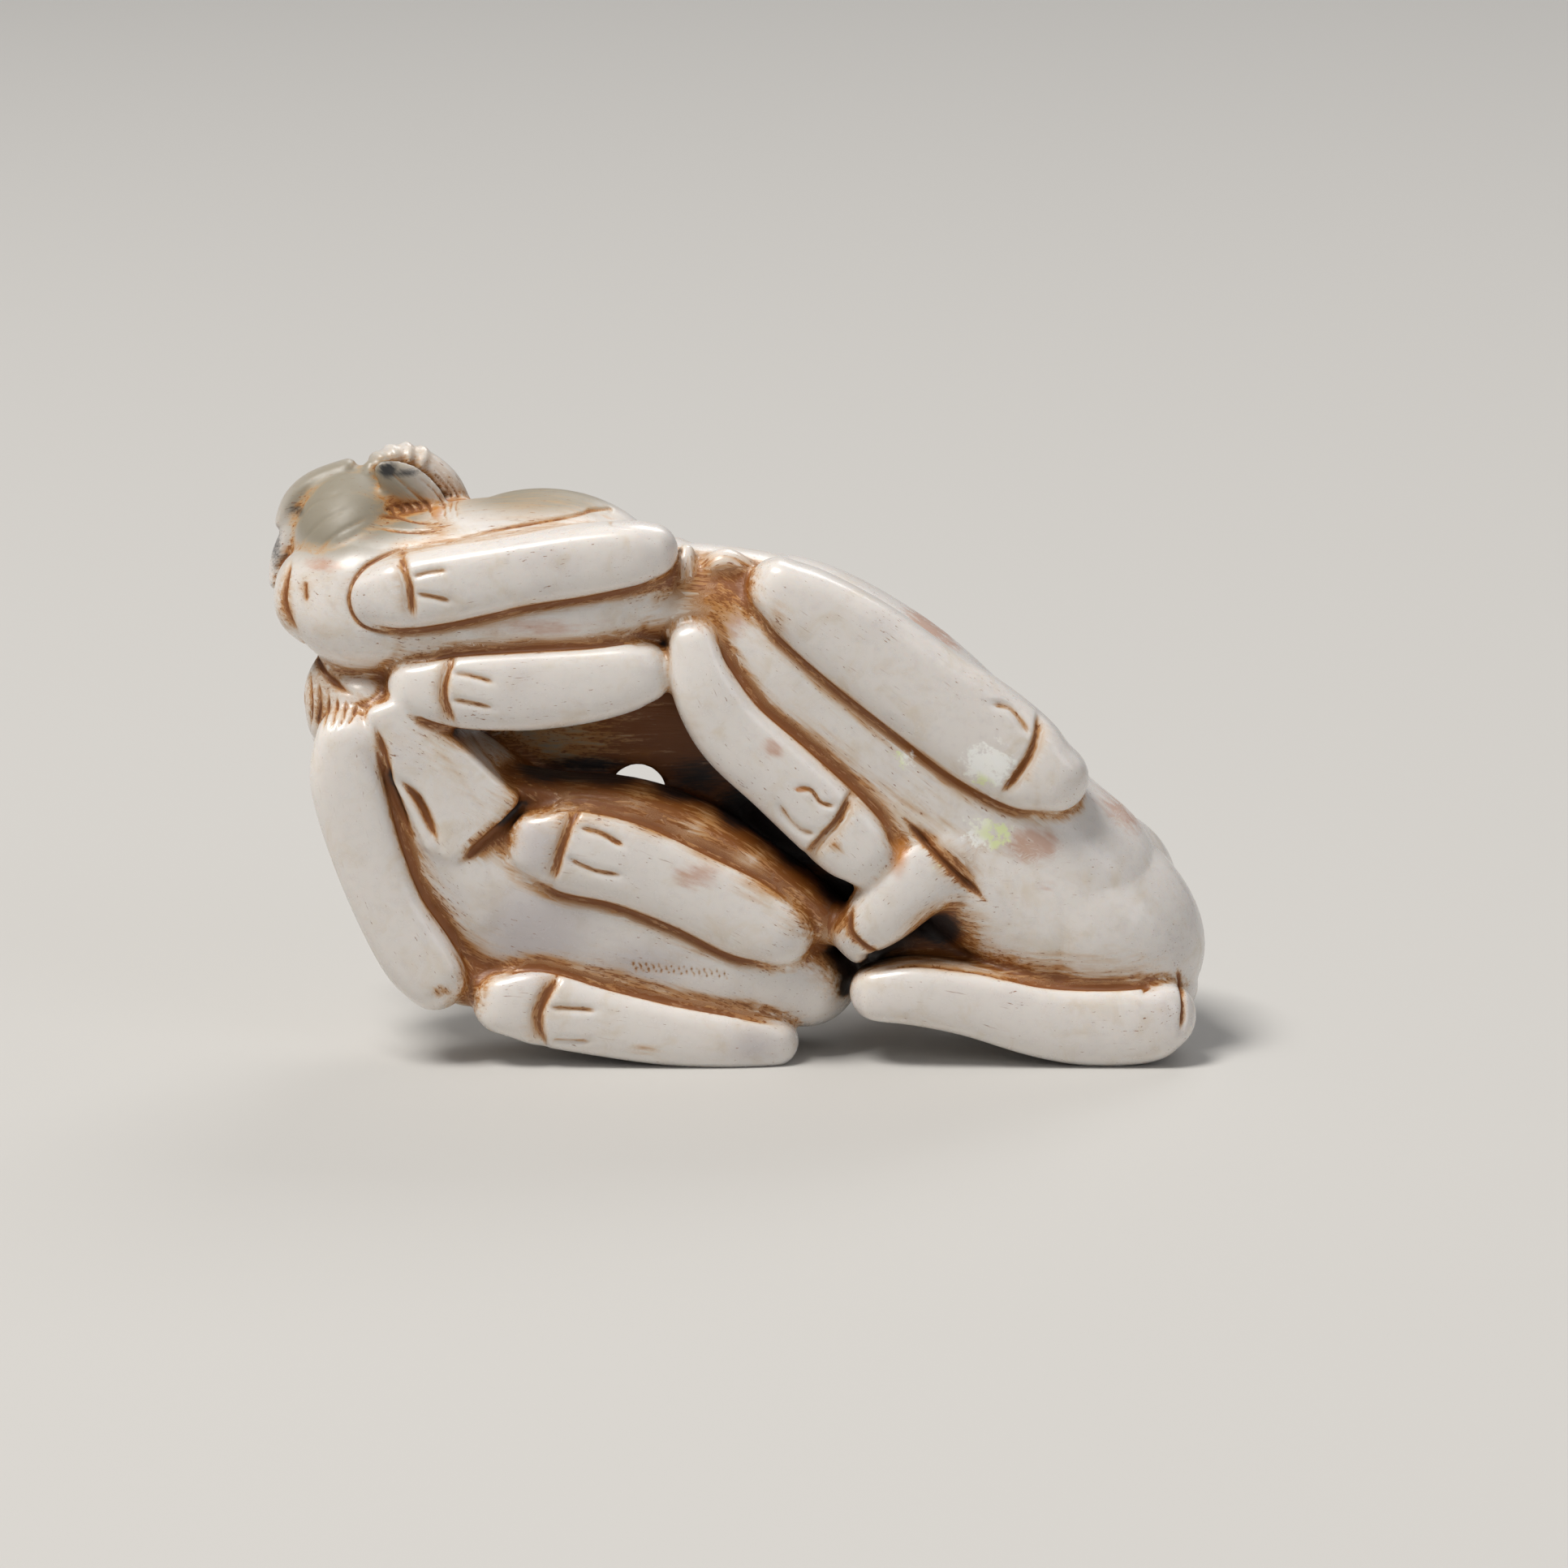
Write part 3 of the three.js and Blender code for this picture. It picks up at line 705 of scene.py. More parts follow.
@dataclass
class LowerKid:
    """The kid along the ground edge: forelegs folded at the left, head turned back along its back."""

    head: Head = field(
        default_factory=lambda: Head((-28.8, 19.2, 26.8), (0.84, 0.12, -0.5), (0.3, 0.7, 0.62))
    )

    def legs(self) -> list[Limb]:
        """Gives the folded legs whose fronts were ground flat."""
        upper_hind = folded_leg([
            (-17.6, 20.2, 3), (-14.8, 19.8, 4), (-9.9, 18.7, 4), (-4.3, 16.3, 3.8), (0.6, 13.8, 3.8),
            (3.6, 12.3, 3),
        ])
        lower_hind = folded_leg([
            (-20.8, 5.9, 2.8), (-17.6, 5.7, 3.6), (-12, 4.4, 3.3), (-6.4, 3.3, 3), (-0.8, 2.6, 2.6),
            (3, 2.2, 2.1),
        ])
        outer_fore = folded_leg([
            (-34.2, 29.4, 2.6), (-34.1, 25.9, 3.3), (-32.7, 20.2, 3.2), (-30.6, 14.5, 3.1),
            (-28.2, 10.2, 3.3), (-26.6, 8, 2.9),
        ])
        return [upper_hind, lower_hind, outer_fore]

    def trunk(self) -> list[Form]:
        """Gives the near upper arm with its sharp elbow, the trunk, breast, haunch and neck."""
        upper_arm = Plate(
            [
                (-32.4, 32), (-29.6, 33.2), (-27, 31.6), (-23.6, 28.6), (-20.6, 25.6), (-18.9, 24.2),
                (-20.6, 22.2), (-22.6, 20), (-25, 18.4), (-27.4, 19.8), (-29, 23.6), (-31.4, 28),
            ],
            front=0.9, depth=8, edge=0.9, lean=(0.06, 0.02),
        )
        trunk = Limb([
            (6, 9, 6.6, 4.4, 7), (0, 10, 9.2, 8.4, 8.6), (-8, 10.2, 12.2, 11.2, 8.8),
            (-15.5, 10.2, 13.8, 10.6, 8.8), (-22, 10, 16.4, 9.2, 8.6), (-28, 9.6, 22.6, 8, 8),
            (-31.6, 9.6, 27.4, 5.4, 6.4),
        ], square=2.4)
        breast = Limb([
            (-29.6, 7.4, 25.6, 3.6, 5.8), (-26.6, 7.2, 21.6, 5, 6), (-23.6, 7.2, 17.4, 4.8, 6),
            (-21.4, 7.4, 13.6, 4.4, 6),
        ], square=2.4)
        back_edge = Limb([
            (-19.4, 7.2, 24.6, 1.4, 3.6), (-15.4, 6.6, 23.7, 1.7, 4), (-10.6, 6.4, 23.3, 1.9, 4.2),
            (-6, 6.2, 22, 2, 4.2), (-1.2, 6, 19.6, 2, 4.2), (3.4, 6, 16, 2.2, 4.2),
            (7.2, 6.4, 12.6, 2.4, 4.2),
        ])
        shoulder = Egg((-27, 12.2, 17.8), (8.8, 7.6, 9.4))
        withers = Egg((-32.4, 7.6, 32.4), (4.4, 4.6, 3))
        brisket = Egg((-23.8, 7, 7.6), (3.4, 4.8, 3))
        haunch = Egg((-3.4, 12.6, 9.3), (10.6, 7.8, 9.9))
        neck = Limb([
            (-31, 10.4, 25, 6, 6.4), (-32.4, 14.5, 27.6, 5.4, 5.6), (-30, 18.6, 27, 4.6, 4.8),
        ])
        return [upper_arm, trunk, breast, back_edge, shoulder, withers, brisket, haunch, neck]

    def forms(self) -> list[Form]:
        """Gives every form of the kid."""
        return [*self.legs(), *self.trunk(), *self.head.forms()]

    def strokes(self) -> list[Stroke]:
        """Gives the hoof lines, toe marks, the crescent behind the foreleg and the belly ticks."""
        upper_hind, lower_hind, outer_fore = self.legs()
        cuts = [
            upper_hind.border(-1, 0, 1, -0.3),
            upper_hind.border(1, 0, 1),
            lower_hind.border(-1, 0, 1, -0.2),
            outer_fore.border(-1, 0, 1),
            hoof_line([(-13.9, 24), (-15.1, 20.9), (-16.4, 16.6)]),
            toe_mark([(-14.3, 22.1), (-12.1, 21.5), (-9.7, 20.2)], 0.6),
            toe_mark([(-15.4, 19.6), (-12.9, 18.3), (-9.9, 17.7)], 0.6),
            hoof_line([(-15.6, 9), (-17.4, 5.5), (-17, 1.6)], 0.6, 0.5),
            toe_mark([(-17, 6), (-15, 5.9), (-12.2, 5.7)], 0.6),
            toe_mark([(-17, 3), (-15.2, 2.9), (-12.8, 2.9)], 0.6),
            front([(-30.1, 26.5), (-27.8, 24.2), (-26, 20)], 0.75, 0.7, stain=0.25, taper=0.4),
            front([(-31.8, 31.4), (-30.8, 28.6), (-30.2, 25.4), (-28.6, 21)], 0.6, 0.5),
            front([(-19.2, 23.4), (-21.4, 21.2), (-24.2, 18.8)], 0.8, 0.5, stain=0.7),
            behind([(-12.5, 15.4), (-14.4, 9.8), (-11.8, 4.4)], 0.6, 0.4),
        ]
        for k in range(15):
            x = -9.4 + 0.56 * k
            z = 9.7 - 0.05 * k
            cuts.append(front([(x, z), (x + 0.3, z - 0.7)], 0.16, 0.1, stain=0.2, taper=0))
        return cuts + self.head.strokes()

    def patches(self) -> list[Patch]:
        """Gives the patches of colour on the kid, and painted shade along the back edge where it falls
        into the opening.
        """
        band = [(-17.5, 24.6), (-12, 24.2), (-6.5, 22.9), (-1.5, 20.4), (3, 16.9), (6.5, 14)]
        return patches_of({
            Tone.UMBER_AND_SHADE: [
                *((x, 6, z, 3.6, 5, 2, 1.5) for x, z in band),
                (-20.8, 4.5, 21, 3, 3.6, 1.8, 0.7), (-23.4, 3, 29.6, 4.6, 3, 1.1, 0.5),
                (-19.4, 5, 26.6, 1.6, 4, 2.4, 0.7), (6.6, 5, 10.6, 1.4, 4, 3, 0.45),
                (-26, 0.5, 7.5, 0.7, 2, 0.5, 0.8), (-8.6, 1, 2.2, 1.4, 2, 0.5, 0.6),
                (-22.4, 1, 3.4, 0.8, 2, 0.5, 0.5), (-23.6, 4, 7.4, 3, 3.4, 2.6, 0.5),
                (-22, 5, 13.6, 3, 4, 5, 0.16), (-10, 5, 10.4, 9, 4, 2.2, 0.2),
            ],
            Tone.LILAC: [
                (-17.6, 4.5, 12.6, 5.6, 5, 5.4, 1), (-8.5, 4.5, 9.6, 6, 5, 2.4, 0.8),
                (-17.4, 2, 20.4, 2.4, 3, 3, 0.8), (-20.4, 5, 27.6, 1.2, 3, 2.2, 0.9),
                (1, 1, 2.4, 3, 3, 2, 0.5),
            ],
            Tone.RUST: [
                (-4, 0.5, 17.6, 2.6, 2, 1.6, 1), (-2.6, 0.5, 15.2, 1.6, 2, 0.8, 0.4),
            ],
            Tone.INK_AND_SHADE: [
                # painted shade: near black along the back edge where it falls into the opening, over its
                # brown stain
                *((x + 0.5, 7, z + 1, 3.4, 4, 1.3, 0.9) for x, z in band),
                (-37.6, 11, 20.4, 1.6, 6, 5.4, 1.1), (-34.6, 12, 13, 1.4, 5, 4, 0.9),
                # painted shade likewise at the rim of the opening
                (-14, 8, 25.4, 5, 4, 1, 1.2), (-5, 8, 23.6, 5, 3, 1.1, 1), (1.4, 8, 20, 4, 3, 1.6, 1.1),
            ],
        })


@dataclass
class LargeRam:
    """The largest ram: rump at the top, chest and forelegs at the lower right, head turned back."""

    head: Head = field(
        default_factory=lambda: Head((16, 21.4, 17.4), (-0.8, 0.02, 0.6), (0.1, 1, 0.12), 1.22, 11)
    )

    def legs(self) -> list[Limb]:
        """Gives the folded legs whose fronts were ground flat."""
        outer_hind = folded_leg([
            (27.4, 25.8, 2.9), (25.1, 27, 4), (20.9, 29.9, 4.5), (16, 33.4, 4.3), (10.4, 37.6, 4.1),
            (5.5, 41, 3.4), (3.2, 42.6, 2.6),
        ])
        inner_hind = folded_leg([
            (11, 18.9, 2.8), (9.9, 20, 3.4), (7.6, 22.3, 3.6), (3.4, 26.3, 3.5), (-0.8, 30.2, 3.4),
            (-3.3, 34.5, 2.9), (-4.1, 37.8, 2.2),
        ])
        outer_fore = folded_leg([
            (11.9, 6.7, 2.5), (15.3, 6.8, 2.9), (20.2, 6, 3.1), (25.8, 4.5, 3.4), (30.7, 3.9, 3.7),
            (35.4, 4.1, 3.6), (36.9, 4.6, 3),
        ])
        return [outer_hind, inner_hind, outer_fore]

    def trunk(self) -> list[Form]:
        """Gives the inner foreleg and all of the body."""
        inner_fore = Limb([
            (10, 3.6, 11.4, 1.5, 2.4), (10.9, 3.2, 12.6, 2.5, 2.9), (12.6, 3.1, 14.3, 3.1, 3.2),
            (15.2, 3.6, 16.8, 3.6, 3.5), (19, 5.4, 19, 4.6, 4.4),
        ], square=2.7)
        hoof = Limb([(9, 4, 13.4, 0.9, 2.4), (8.9, 4, 11.8, 1.2, 2.4), (10.2, 4, 10.2, 1.1, 2.2)])
        forearm = Limb([
            (37.2, 8.6, 6, 3.2, 4.6), (30, 9.6, 7, 5.4, 5.8), (20, 10.4, 8.6, 5.4, 5.4),
            (12, 10.4, 9.4, 3.4, 4.4),
        ])
        trunk = Limb([
            (-3.4, 9, 41, 3.6, 6.6), (2.5, 9.9, 37, 8, 8.5), (10, 10.2, 30.6, 10, 8.8),
            (17, 10.2, 25, 9.6, 8.8), (24, 10.2, 19.2, 8.2, 8.8), (29.5, 9.8, 14.8, 8, 8.6),
        ], square=2.4)
        belly = Limb([
            (10, 7.4, 25.6, 3.2, 5.8), (16, 7.4, 21.2, 5.4, 6), (22, 8.2, 16.8, 7.6, 7.2),
            (28, 9, 13.4, 8.6, 8.2),
        ], square=2.4)
        chest = Egg((29.8, 9.2, 12.6), (12.2, 8.4, 8.6), turn=(0, 35, 0))
        haunch = Egg((5.2, 12.2, 33.4), (9.6, 8.4, 9))
        shoulder = Egg((22, 13.8, 13), (9.6, 8.6, 10))
        neck = Limb([
            (31, 12, 13.4, 8, 7.8), (30, 18, 13.8, 6.8, 6.6), (24, 21.6, 15.2, 5.8, 5.6),
            (18, 21.6, 16.6, 5.2, 5.2),
        ])
        rumps = Limb([
            (-9.5, 9.4, 40.6, 4.6, 6.8), (-3.6, 9.2, 40.4, 4.9, 6.8), (2.6, 9.4, 39.6, 4.8, 6.8),
        ])
        return [inner_fore, hoof, forearm, trunk, belly, chest, haunch, shoulder, neck, rumps]

    def tails(self) -> list[Form]:
        """Gives the two small tails that lie between the rumps."""
        return [
            Limb([(-4.9, 4.4, 42, 1.1, 1.5), (-4.8, 4.9, 43.8, 1, 1.4), (-4.7, 5.6, 45.1, 0.8, 1.1)]),
            Limb([(-3, 5.2, 43.7, 0.9, 1.4), (-1.4, 5.2, 44.5, 1.2, 1.6), (0.4, 5.4, 43.7, 1, 1.4)]),
        ]

    def forms(self) -> list[Form]:
        """Gives every form of the ram."""
        return [*self.legs(), *self.trunk(), *self.tails(), *self.head.forms()]

    def strokes(self) -> list[Stroke]:
        """Gives the hoof lines, the marks above them and the slash in the chest."""
        outer_hind, inner_hind, outer_fore = self.legs()
        mane = [[(24 + 1.5 * k, 20.8), (25.2 + 1.6 * k, 16), (24.6 + 1.5 * k, 10.4)] for k in range(6)]
        return [
            outer_hind.border(-1, 0, 1),
            inner_hind.border(1, 0, 1, 0),
            outer_fore.border(-1, 0, 1, -0.2),
            hoof_line([(22.2, 24.6), (25, 28.9), (26, 32.8)]),
            toe_mark([(21.2, 33), (23.4, 32.4), (25.2, 29.8)], 0.75, 0.34),
            hoof_line([(5, 18.8), (7, 21.3), (8.2, 22.6), (9.8, 25.4)], depth=0.45),
            toe_mark([(3, 24.4), (4.8, 22), (7, 21.3)], 0.75, 0.34),
            toe_mark([(4.6, 25.7), (6.1, 25.3), (7, 24.2), (8.6, 23.9)], 0.5, 0.28),
            front([(9.6, 14.8), (9.5, 12.9), (10.3, 11.8), (11.8, 10.6)], 0.4, 0.35, stain=0.8),
            front([(14.2, 22.4), (17.5, 19.1), (21.2, 15.3)], 0.46, 0.7, stain=0.85),
            front([(14.8, 22.2), (18, 19.4), (20.9, 16.4)], 1.1, 0.3, stain=0.14, taper=0.4),
            front([(38.2, 8.6), (38.6, 6), (38.2, 3.4)], 0.45, 0.4, deepest=12),
            behind([(11.5, 39), (15, 33.4), (12.6, 27)], 0.7, 0.45),
            behind([(20.5, 24.6), (25.6, 27), (31, 23.6)], 0.7, 0.4),
            *(behind(lock, 0.3, 0.22, stain=0.2) for lock in mane),
            *self.head.strokes(),
        ]

    def patches(self) -> list[Patch]:
        """Gives the patches of colour on the ram, and the painted shade in the hole between its forelegs.
        """
        return patches_of({
            Tone.RUST: [
                (-1.6, 4, 40.6, 3.4, 4, 3.2, 1.3), (2.4, 4, 39, 1.4, 4, 2.8, 0.9),
                (25.2, 2, 20.2, 3, 4, 2, 1.2), (26.6, 1, 16.4, 1.2, 3, 0.8, 0.9),
                (24, 1, 17.8, 0.8, 3, 0.5, 0.6), (17.6, 8, 38, 6, 5, 2.4, 1.3),
                (24.6, 8, 33, 3, 5, 2.4, 1.2), (35, 8, 22.6, 4.4, 5, 3, 1.2),
                (2.6, 0.5, 28.9, 1.5, 2, 1.2, 1), (10.4, 5, 26.6, 1.6, 3, 2, 0.3),
            ],
            Tone.UMBER_AND_SHADE: [
                (-2, 4, 42.2, 4.4, 4, 2.4, 0.75), (3.4, 4, 40.6, 1.3, 4, 2.2, 0.6),
                (18.6, 3, 18.4, 2.6, 3, 2.2, 0.35), (8.4, 5, 30, 3.6, 5, 5, 0.2),
                (14.6, 5, 24.4, 4, 5, 3.4, 0.24), (27.6, 3, 9.8, 9, 4, 1.3, 0.3),
                # the patch at (17.4, 5, 12.6) is painted shade in the hole between the forelegs
                (17.4, 5, 12.6, 3.4, 5, 2.6, 1.2), (12.6, 3, 21.2, 2, 3, 2, 0.3),
                (8.2, 1, 20.4, 0.5, 2, 0.4, 0.7),
            ],
            # painted shade: near black in the hole between the forelegs
            Tone.INK_AND_SHADE: [(17.4, 7.4, 12.6, 2.6, 6, 2.2, 1.5)],
            Tone.AMBER: [
                (13.7, 3.4, 18.8, 1.3, 3.2, 2.7, 1.3), (14.2, 5, 22.2, 2, 3, 0.9, 0.7),
                (12.6, 4, 10, 1.6, 3, 0.7, 0.9), (5.2, 0.5, 25.4, 1, 2, 0.3, 1),
            ],
            Tone.CHALK: [
                (21.4, 1, 27.8, 3.4, 3, 3, 1.15), (13.8, 3, 27.8, 2.6, 4, 1.5, 1),
                (21.6, 3, 21.2, 3.4, 4, 2.2, 1.15), (17, 1, 18.4, 0.8, 3, 0.5, 0.9),
            ],
        })


@dataclass
class Web:
    """The stone left standing between the three bodies, with the hole drilled through it."""

    drill_at: tuple[float, float] = (-9.1, 23.0)
    drill_radius: float = 2.4
    drill_from: float = 8.0
    drill_to: float = 29.0

    def forms(self) -> list[Form]:
        """Gives the masses of the web."""
        return [
            Egg((-8, 14.8, 26.6), (15, 4.4, 10.4)),
            Egg((6.4, 13.6, 19.4), (6.4, 4.6, 6.4)),
            Egg((8.8, 13, 14.6), (5.4, 5.2, 5.4)),
        ]

    def patches(self) -> list[Patch]:
        """Gives the patches of colour in the opening: grey-green and amber in the stone, and umber and ink
        that lay painted shade over the brown stain inside it.
        """
        return patches_of({
            Tone.GREY_GREEN: [(-15, 11, 28.4, 5, 5, 2.8, 1.4)],
            Tone.AMBER: [(-9, 12, 26.4, 3.2, 4, 1, 0.6)],
            # brown stain, darkened further as painted shade deep inside the opening
            Tone.UMBER_AND_SHADE: [
                (-4, 12, 27, 8, 5, 7, 1.8), (3, 10, 19, 7, 4, 5, 2), (8, 8, 15.4, 2.6, 4, 2.6, 1.2),
            ],
            # painted shade: near black inside the opening
            Tone.INK_AND_SHADE: [(3.4, 11, 19.8, 6, 4.6, 5, 1.3), (-4, 13, 24.4, 3.6, 3.6, 2.4, 1)],
        })

    def meets(self, piece: bpy.types.Object) -> bool:
        """Tells whether the drill passes through a piece's box."""
        corners = np.array(piece.bound_box)
        low, high = corners.min(0), corners.max(0)
        x, z = self.drill_at
        reach = self.drill_radius
        across = low[0] < x + reach and high[0] > x - reach
        upward = low[2] < z + reach and high[2] > z - reach
        return across and upward and high[1] > self.drill_from

    def drill(self) -> bpy.types.Object:
        """Gives the drill as a cylinder along the depth, flared a little where it leaves."""
        deselect_all()
        x, z = self.drill_at
        middle = (self.drill_from + self.drill_to) / 2
        bpy.ops.mesh.primitive_cylinder_add(
            vertices=48,
            radius=self.drill_radius,
            depth=self.drill_to - self.drill_from,
            location=(x, middle, z),
            rotation=(math.pi / 2, 0, 0),
        )
        bpy.ops.object.transform_apply(location=True, rotation=True, scale=True)
        return bpy.context.object


class Workshop:
    """Joins the forms into one stone, softens it, cuts the strokes and thins the mesh."""

    VOXEL = 0.22  # mm
    SOFTEN = 6  # rounds of smoothing all over, which take away the steps of the remeshing
    FILL = 36  # rounds of smoothing of the creases alone, which round them by about 1 mm
    HOLLOW = (0.01, 0.08)  # mm, how far in a point lies where the filling starts and is full
    FOOT_TRIM = 0.4  # how far the worn flats lie above the lowest point of the limbs, in mm
    CREASES = (4, 16, 120)  # rounds of smoothing that find narrow, middling and broad creases
    FILLED = 10  # rounds that find the creases to fill
    FEATHER = 6  # rounds that soften the edge of the filling
    SPILL = 1.6  # makes the filling full also a little way out of each crease
    PULL = 0.7  # how far one round of filling moves a point, where it is full
    REACH = 1.6  # how far a stroke reaches, as a share of its width
    LIP = 0.55  # how far off its cut fades, likewise
    SMEAR = 1.1  # how far off the soft band of its dirt fades, likewise
    THREAD = 0.35  # how far off the dark middle of its dirt fades, likewise
    END_DEPTH = 0.15  # the share of its depth that is left at its tapered ends
    INSIDE = 0.25  # the share of its depth above which the grain follows it
    GRAZING = 0.2  # how far stone may face away from a stroke's view and still be cut
    GRAIN_STEP = 53.0  # mm between the grain's starts on one stroke and the next, so that none repeats
    MOST_TRIANGLES = 190_000

    def __init__(self, forms: list[Form], strokes: list[Stroke], web: Web) -> None:
        """Keeps what the stone is made from."""
        self.forms = forms
        self.strokes = strokes
        self.web = web
        self.stone: bpy.types.Object | None = None
        self.dirt = np.zeros(0)
        self.hollow = np.zeros((0, 3))
        self.run = np.zeros((0, 3))

    def join(self) -> None:
        """Joins all forms by remeshing them as one skin, drilled and trimmed flat."""
        shaped = [form.shape() for form in self.forms]
        LOG.info("shaped %d forms", len(shaped))
        drill = self.web.drill()
        for piece in shaped:
            if self.web.meets(piece):
                apply_modifier(piece, "BOOLEAN", operation="DIFFERENCE", object=drill, solver="EXACT")
        bpy.data.objects.remove(drill)
        LOG.info("drilled")
        deselect_all()
        for piece in shaped:
            piece.select_set(True)
        bpy.context.view_layer.objects.active = shaped[0]
        bpy.ops.object.join()
        self.stone = bpy.context.object
        self.stone.name = "jade_rams"
        apply_modifier(self.stone, "REMESH", mode="VOXEL", voxel_size=self.VOXEL)
        apply_modifier(self.stone, "SMOOTH", factor=0.5, iterations=self.SOFTEN)
        self.fill_creases()
        LOG.info("the softened stone has %d faces", len(self.stone.data.polygons))

    def fill_creases(self) -> None:
        """Rounds the creases between the forms, as a wheel leaves them, and trims the worn flats."""
        mesh = self.stone.data
        spread = Spread(mesh)
        places, normals = read_points(mesh)
        hollow = ((spread.over(places, self.FILLED) - places) * normals).sum(axis=1)
        weight = spread.over(smooth_step(*self.HOLLOW, hollow)[:, None], self.FEATHER)
        weight = np.clip(weight * self.SPILL, 0, 1)
        for _ in range(self.FILL):
            places += weight * self.PULL * (spread.over(places, 1, 1.0) - places)
        places[:, 2] = np.maximum(places[:, 2], self.FOOT_TRIM)
        write_places(mesh, places)

    def cut(self) -> None:
        """Lowers the stone along every stroke."""
        mesh = self.stone.data
        count = len(mesh.vertices)
        places, normals = read_points(mesh)
        tree = BVHTree.FromObject(self.stone, bpy.context.evaluated_depsgraph_get())
        lowered = np.zeros(count)
        dirt = np.zeros(count)
        run = np.full((count, 3), np.nan)
        for number, stroke in enumerate(self.strokes):
            line = self.cast(stroke, tree)
            if len(line) < 2:
                continue
            slope = STEP_SLOPE if stroke.kind is Cut.STEP else 1.0
            reach = stroke.width * (self.REACH * slope)
            near = np.all((places > line.min(0) - reach) & (places < line.max(0) + reach), axis=1)
            near &= normals @ np.array(stroke.look) < self.GRAZING
            index = np.flatnonzero(near)
            if not len(index):
                continue
            away, share, side = distance_to_line(places[index], line, np.array(stroke.look))
            away = np.where(side > 0, away / slope, away)
            ends = np.ones_like(share)
            if stroke.taper:
                ends = smooth_step(0, stroke.taper, share) * smooth_step(0, stroke.taper, 1 - share)
                ends = self.END_DEPTH + (1 - self.END_DEPTH) * ends
            lip, band, thread = (
                np.exp(-((away / (stroke.width * fall)) ** 2))
                for fall in (self.LIP, self.SMEAR, self.THREAD)
            )
            profile = lip * ends
            lowered[index] = np.maximum(lowered[index], stroke.depth * profile)
            dirt[index] = np.maximum(dirt[index], stroke.stain * (0.6 * band + 0.4 * thread) * ends)
            inside = profile > self.INSIDE
            length = np.linalg.norm(np.diff(line, axis=0), axis=1).sum()
            run[index[inside], 0] = share[inside] * length + self.GRAIN_STEP * number
            run[index[inside], 1] = side[inside]
            run[index[inside], 2] = 0.0
        write_places(mesh, places - normals * lowered[:, None])
        self.dirt, self.run = dirt, run

    @staticmethod
    def cast(stroke: Stroke, tree: BVHTree) -> np.ndarray:
        """Casts a stroke's points onto the stone.

        Args:
            stroke: The stroke.
            tree: The stone's faces.

        Returns:
            The points on the stone, one a row.
        """
        look = Vector(stroke.look).normalized()
        found = []
        for point in stroke.line():
            start = Vector(point) - look * stroke.back
            hit, facing = tree.ray_cast(start, look, stroke.back + stroke.deepest)[:2]
            if hit is not None and facing.dot(look) < 0:
                found.append(hit)
        return np.array(found, float).reshape(-1, 3)

    def thin(self) -> None:
        """Thins the mesh where the stone is plain, and keeps the dirt of the strokes on it."""
        mesh = self.stone.data
        places, normals = read_points(mesh)
        dirt, hollow = self.dirt, self.cavity(Spread(mesh), places, normals)
        tree = KDTree(len(places))
        for number, place in enumerate(places):
            tree.insert(place, number)
        tree.balance()
        apply_modifier(self.stone, "TRIANGULATE")
        share = self.MOST_TRIANGLES / len(self.stone.data.polygons)
        if share < 1:
            apply_modifier(self.stone, "DECIMATE", decimate_type="COLLAPSE", ratio=share)
        nearest = np.array([tree.find(v.co)[1] for v in self.stone.data.vertices])
        self.dirt, self.hollow, self.run = dirt[nearest], hollow[nearest], self.run[nearest]
        LOG.info("the thinned stone has %d triangles", len(self.stone.data.polygons))

    def cavity(self, spread: "Spread", places: np.ndarray, normals: np.ndarray) -> np.ndarray:
        """Measures how far each point lies in a crease, at three sizes.

        Args:
            spread: The smoothing over the dense mesh, whose faces are all of about one size.
            places: Its points, in millimetres.
            normals: The way that each point faces.

        Returns:
            One row of three values a point, above 0 in a crease and below 0 on a ridge.
        """
        found = []
        now = places
        for rounds in self.CREASES:
            now = spread.over(now, rounds)
            found.append(((now - places) * normals).sum(axis=1))
        return np.stack(found, axis=1)


class Spread:
    """Smoothing of values over a mesh, from each point to its neighbours."""

    def __init__(self, mesh: bpy.types.Mesh) -> None:
        """Reads the mesh's edges."""
        edges = np.empty(len(mesh.edges) * 2, np.int32)
        mesh.edges.foreach_get("vertices", edges)
        self.a, self.b = edges.reshape(-1, 2).T
        self.count = len(mesh.vertices)
        degree = np.bincount(self.a, minlength=self.count) + np.bincount(self.b, minlength=self.count)
        self.degree = degree[:, None]

    def over(self, values: np.ndarray, rounds: int, share: float = 0.6) -> np.ndarray:
        """Gives the values after some rounds of smoothing.

        Args:
            values: One row a point.
            rounds: How often to smooth.
            share: How much of each value comes from its neighbours in one round.

        Returns:
            The smoothed rows.
        """
        now = np.array(values, float)
        for _ in range(rounds):
            total = np.empty_like(now)
            for axis in range(now.shape[1]):
                total[:, axis] = np.bincount(self.a, now[self.b, axis], self.count)
                total[:, axis] += np.bincount(self.b, now[self.a, axis], self.count)
            now = (1 - share) * now + share * total / self.degree
        return now


def read_points(mesh: bpy.types.Mesh) -> tuple[np.ndarray, np.ndarray]:
    """Gives the places of a mesh's points and the ways they face, one a row."""
    places = np.empty(len(mesh.vertices) * 3, np.float32)
    normals = np.empty(len(mesh.vertices) * 3, np.float32)
    mesh.vertices.foreach_get("co", places)
    mesh.vertex_normals.foreach_get("vector", normals)
    return places.reshape(-1, 3).astype(float), normals.reshape(-1, 3).astype(float)


def write_places(mesh: bpy.types.Mesh, places: np.ndarray) -> None:
    """Moves a mesh's points to some places, one a row."""
    mesh.vertices.foreach_set("co", places.astype(np.float32).ravel())
    mesh.update()


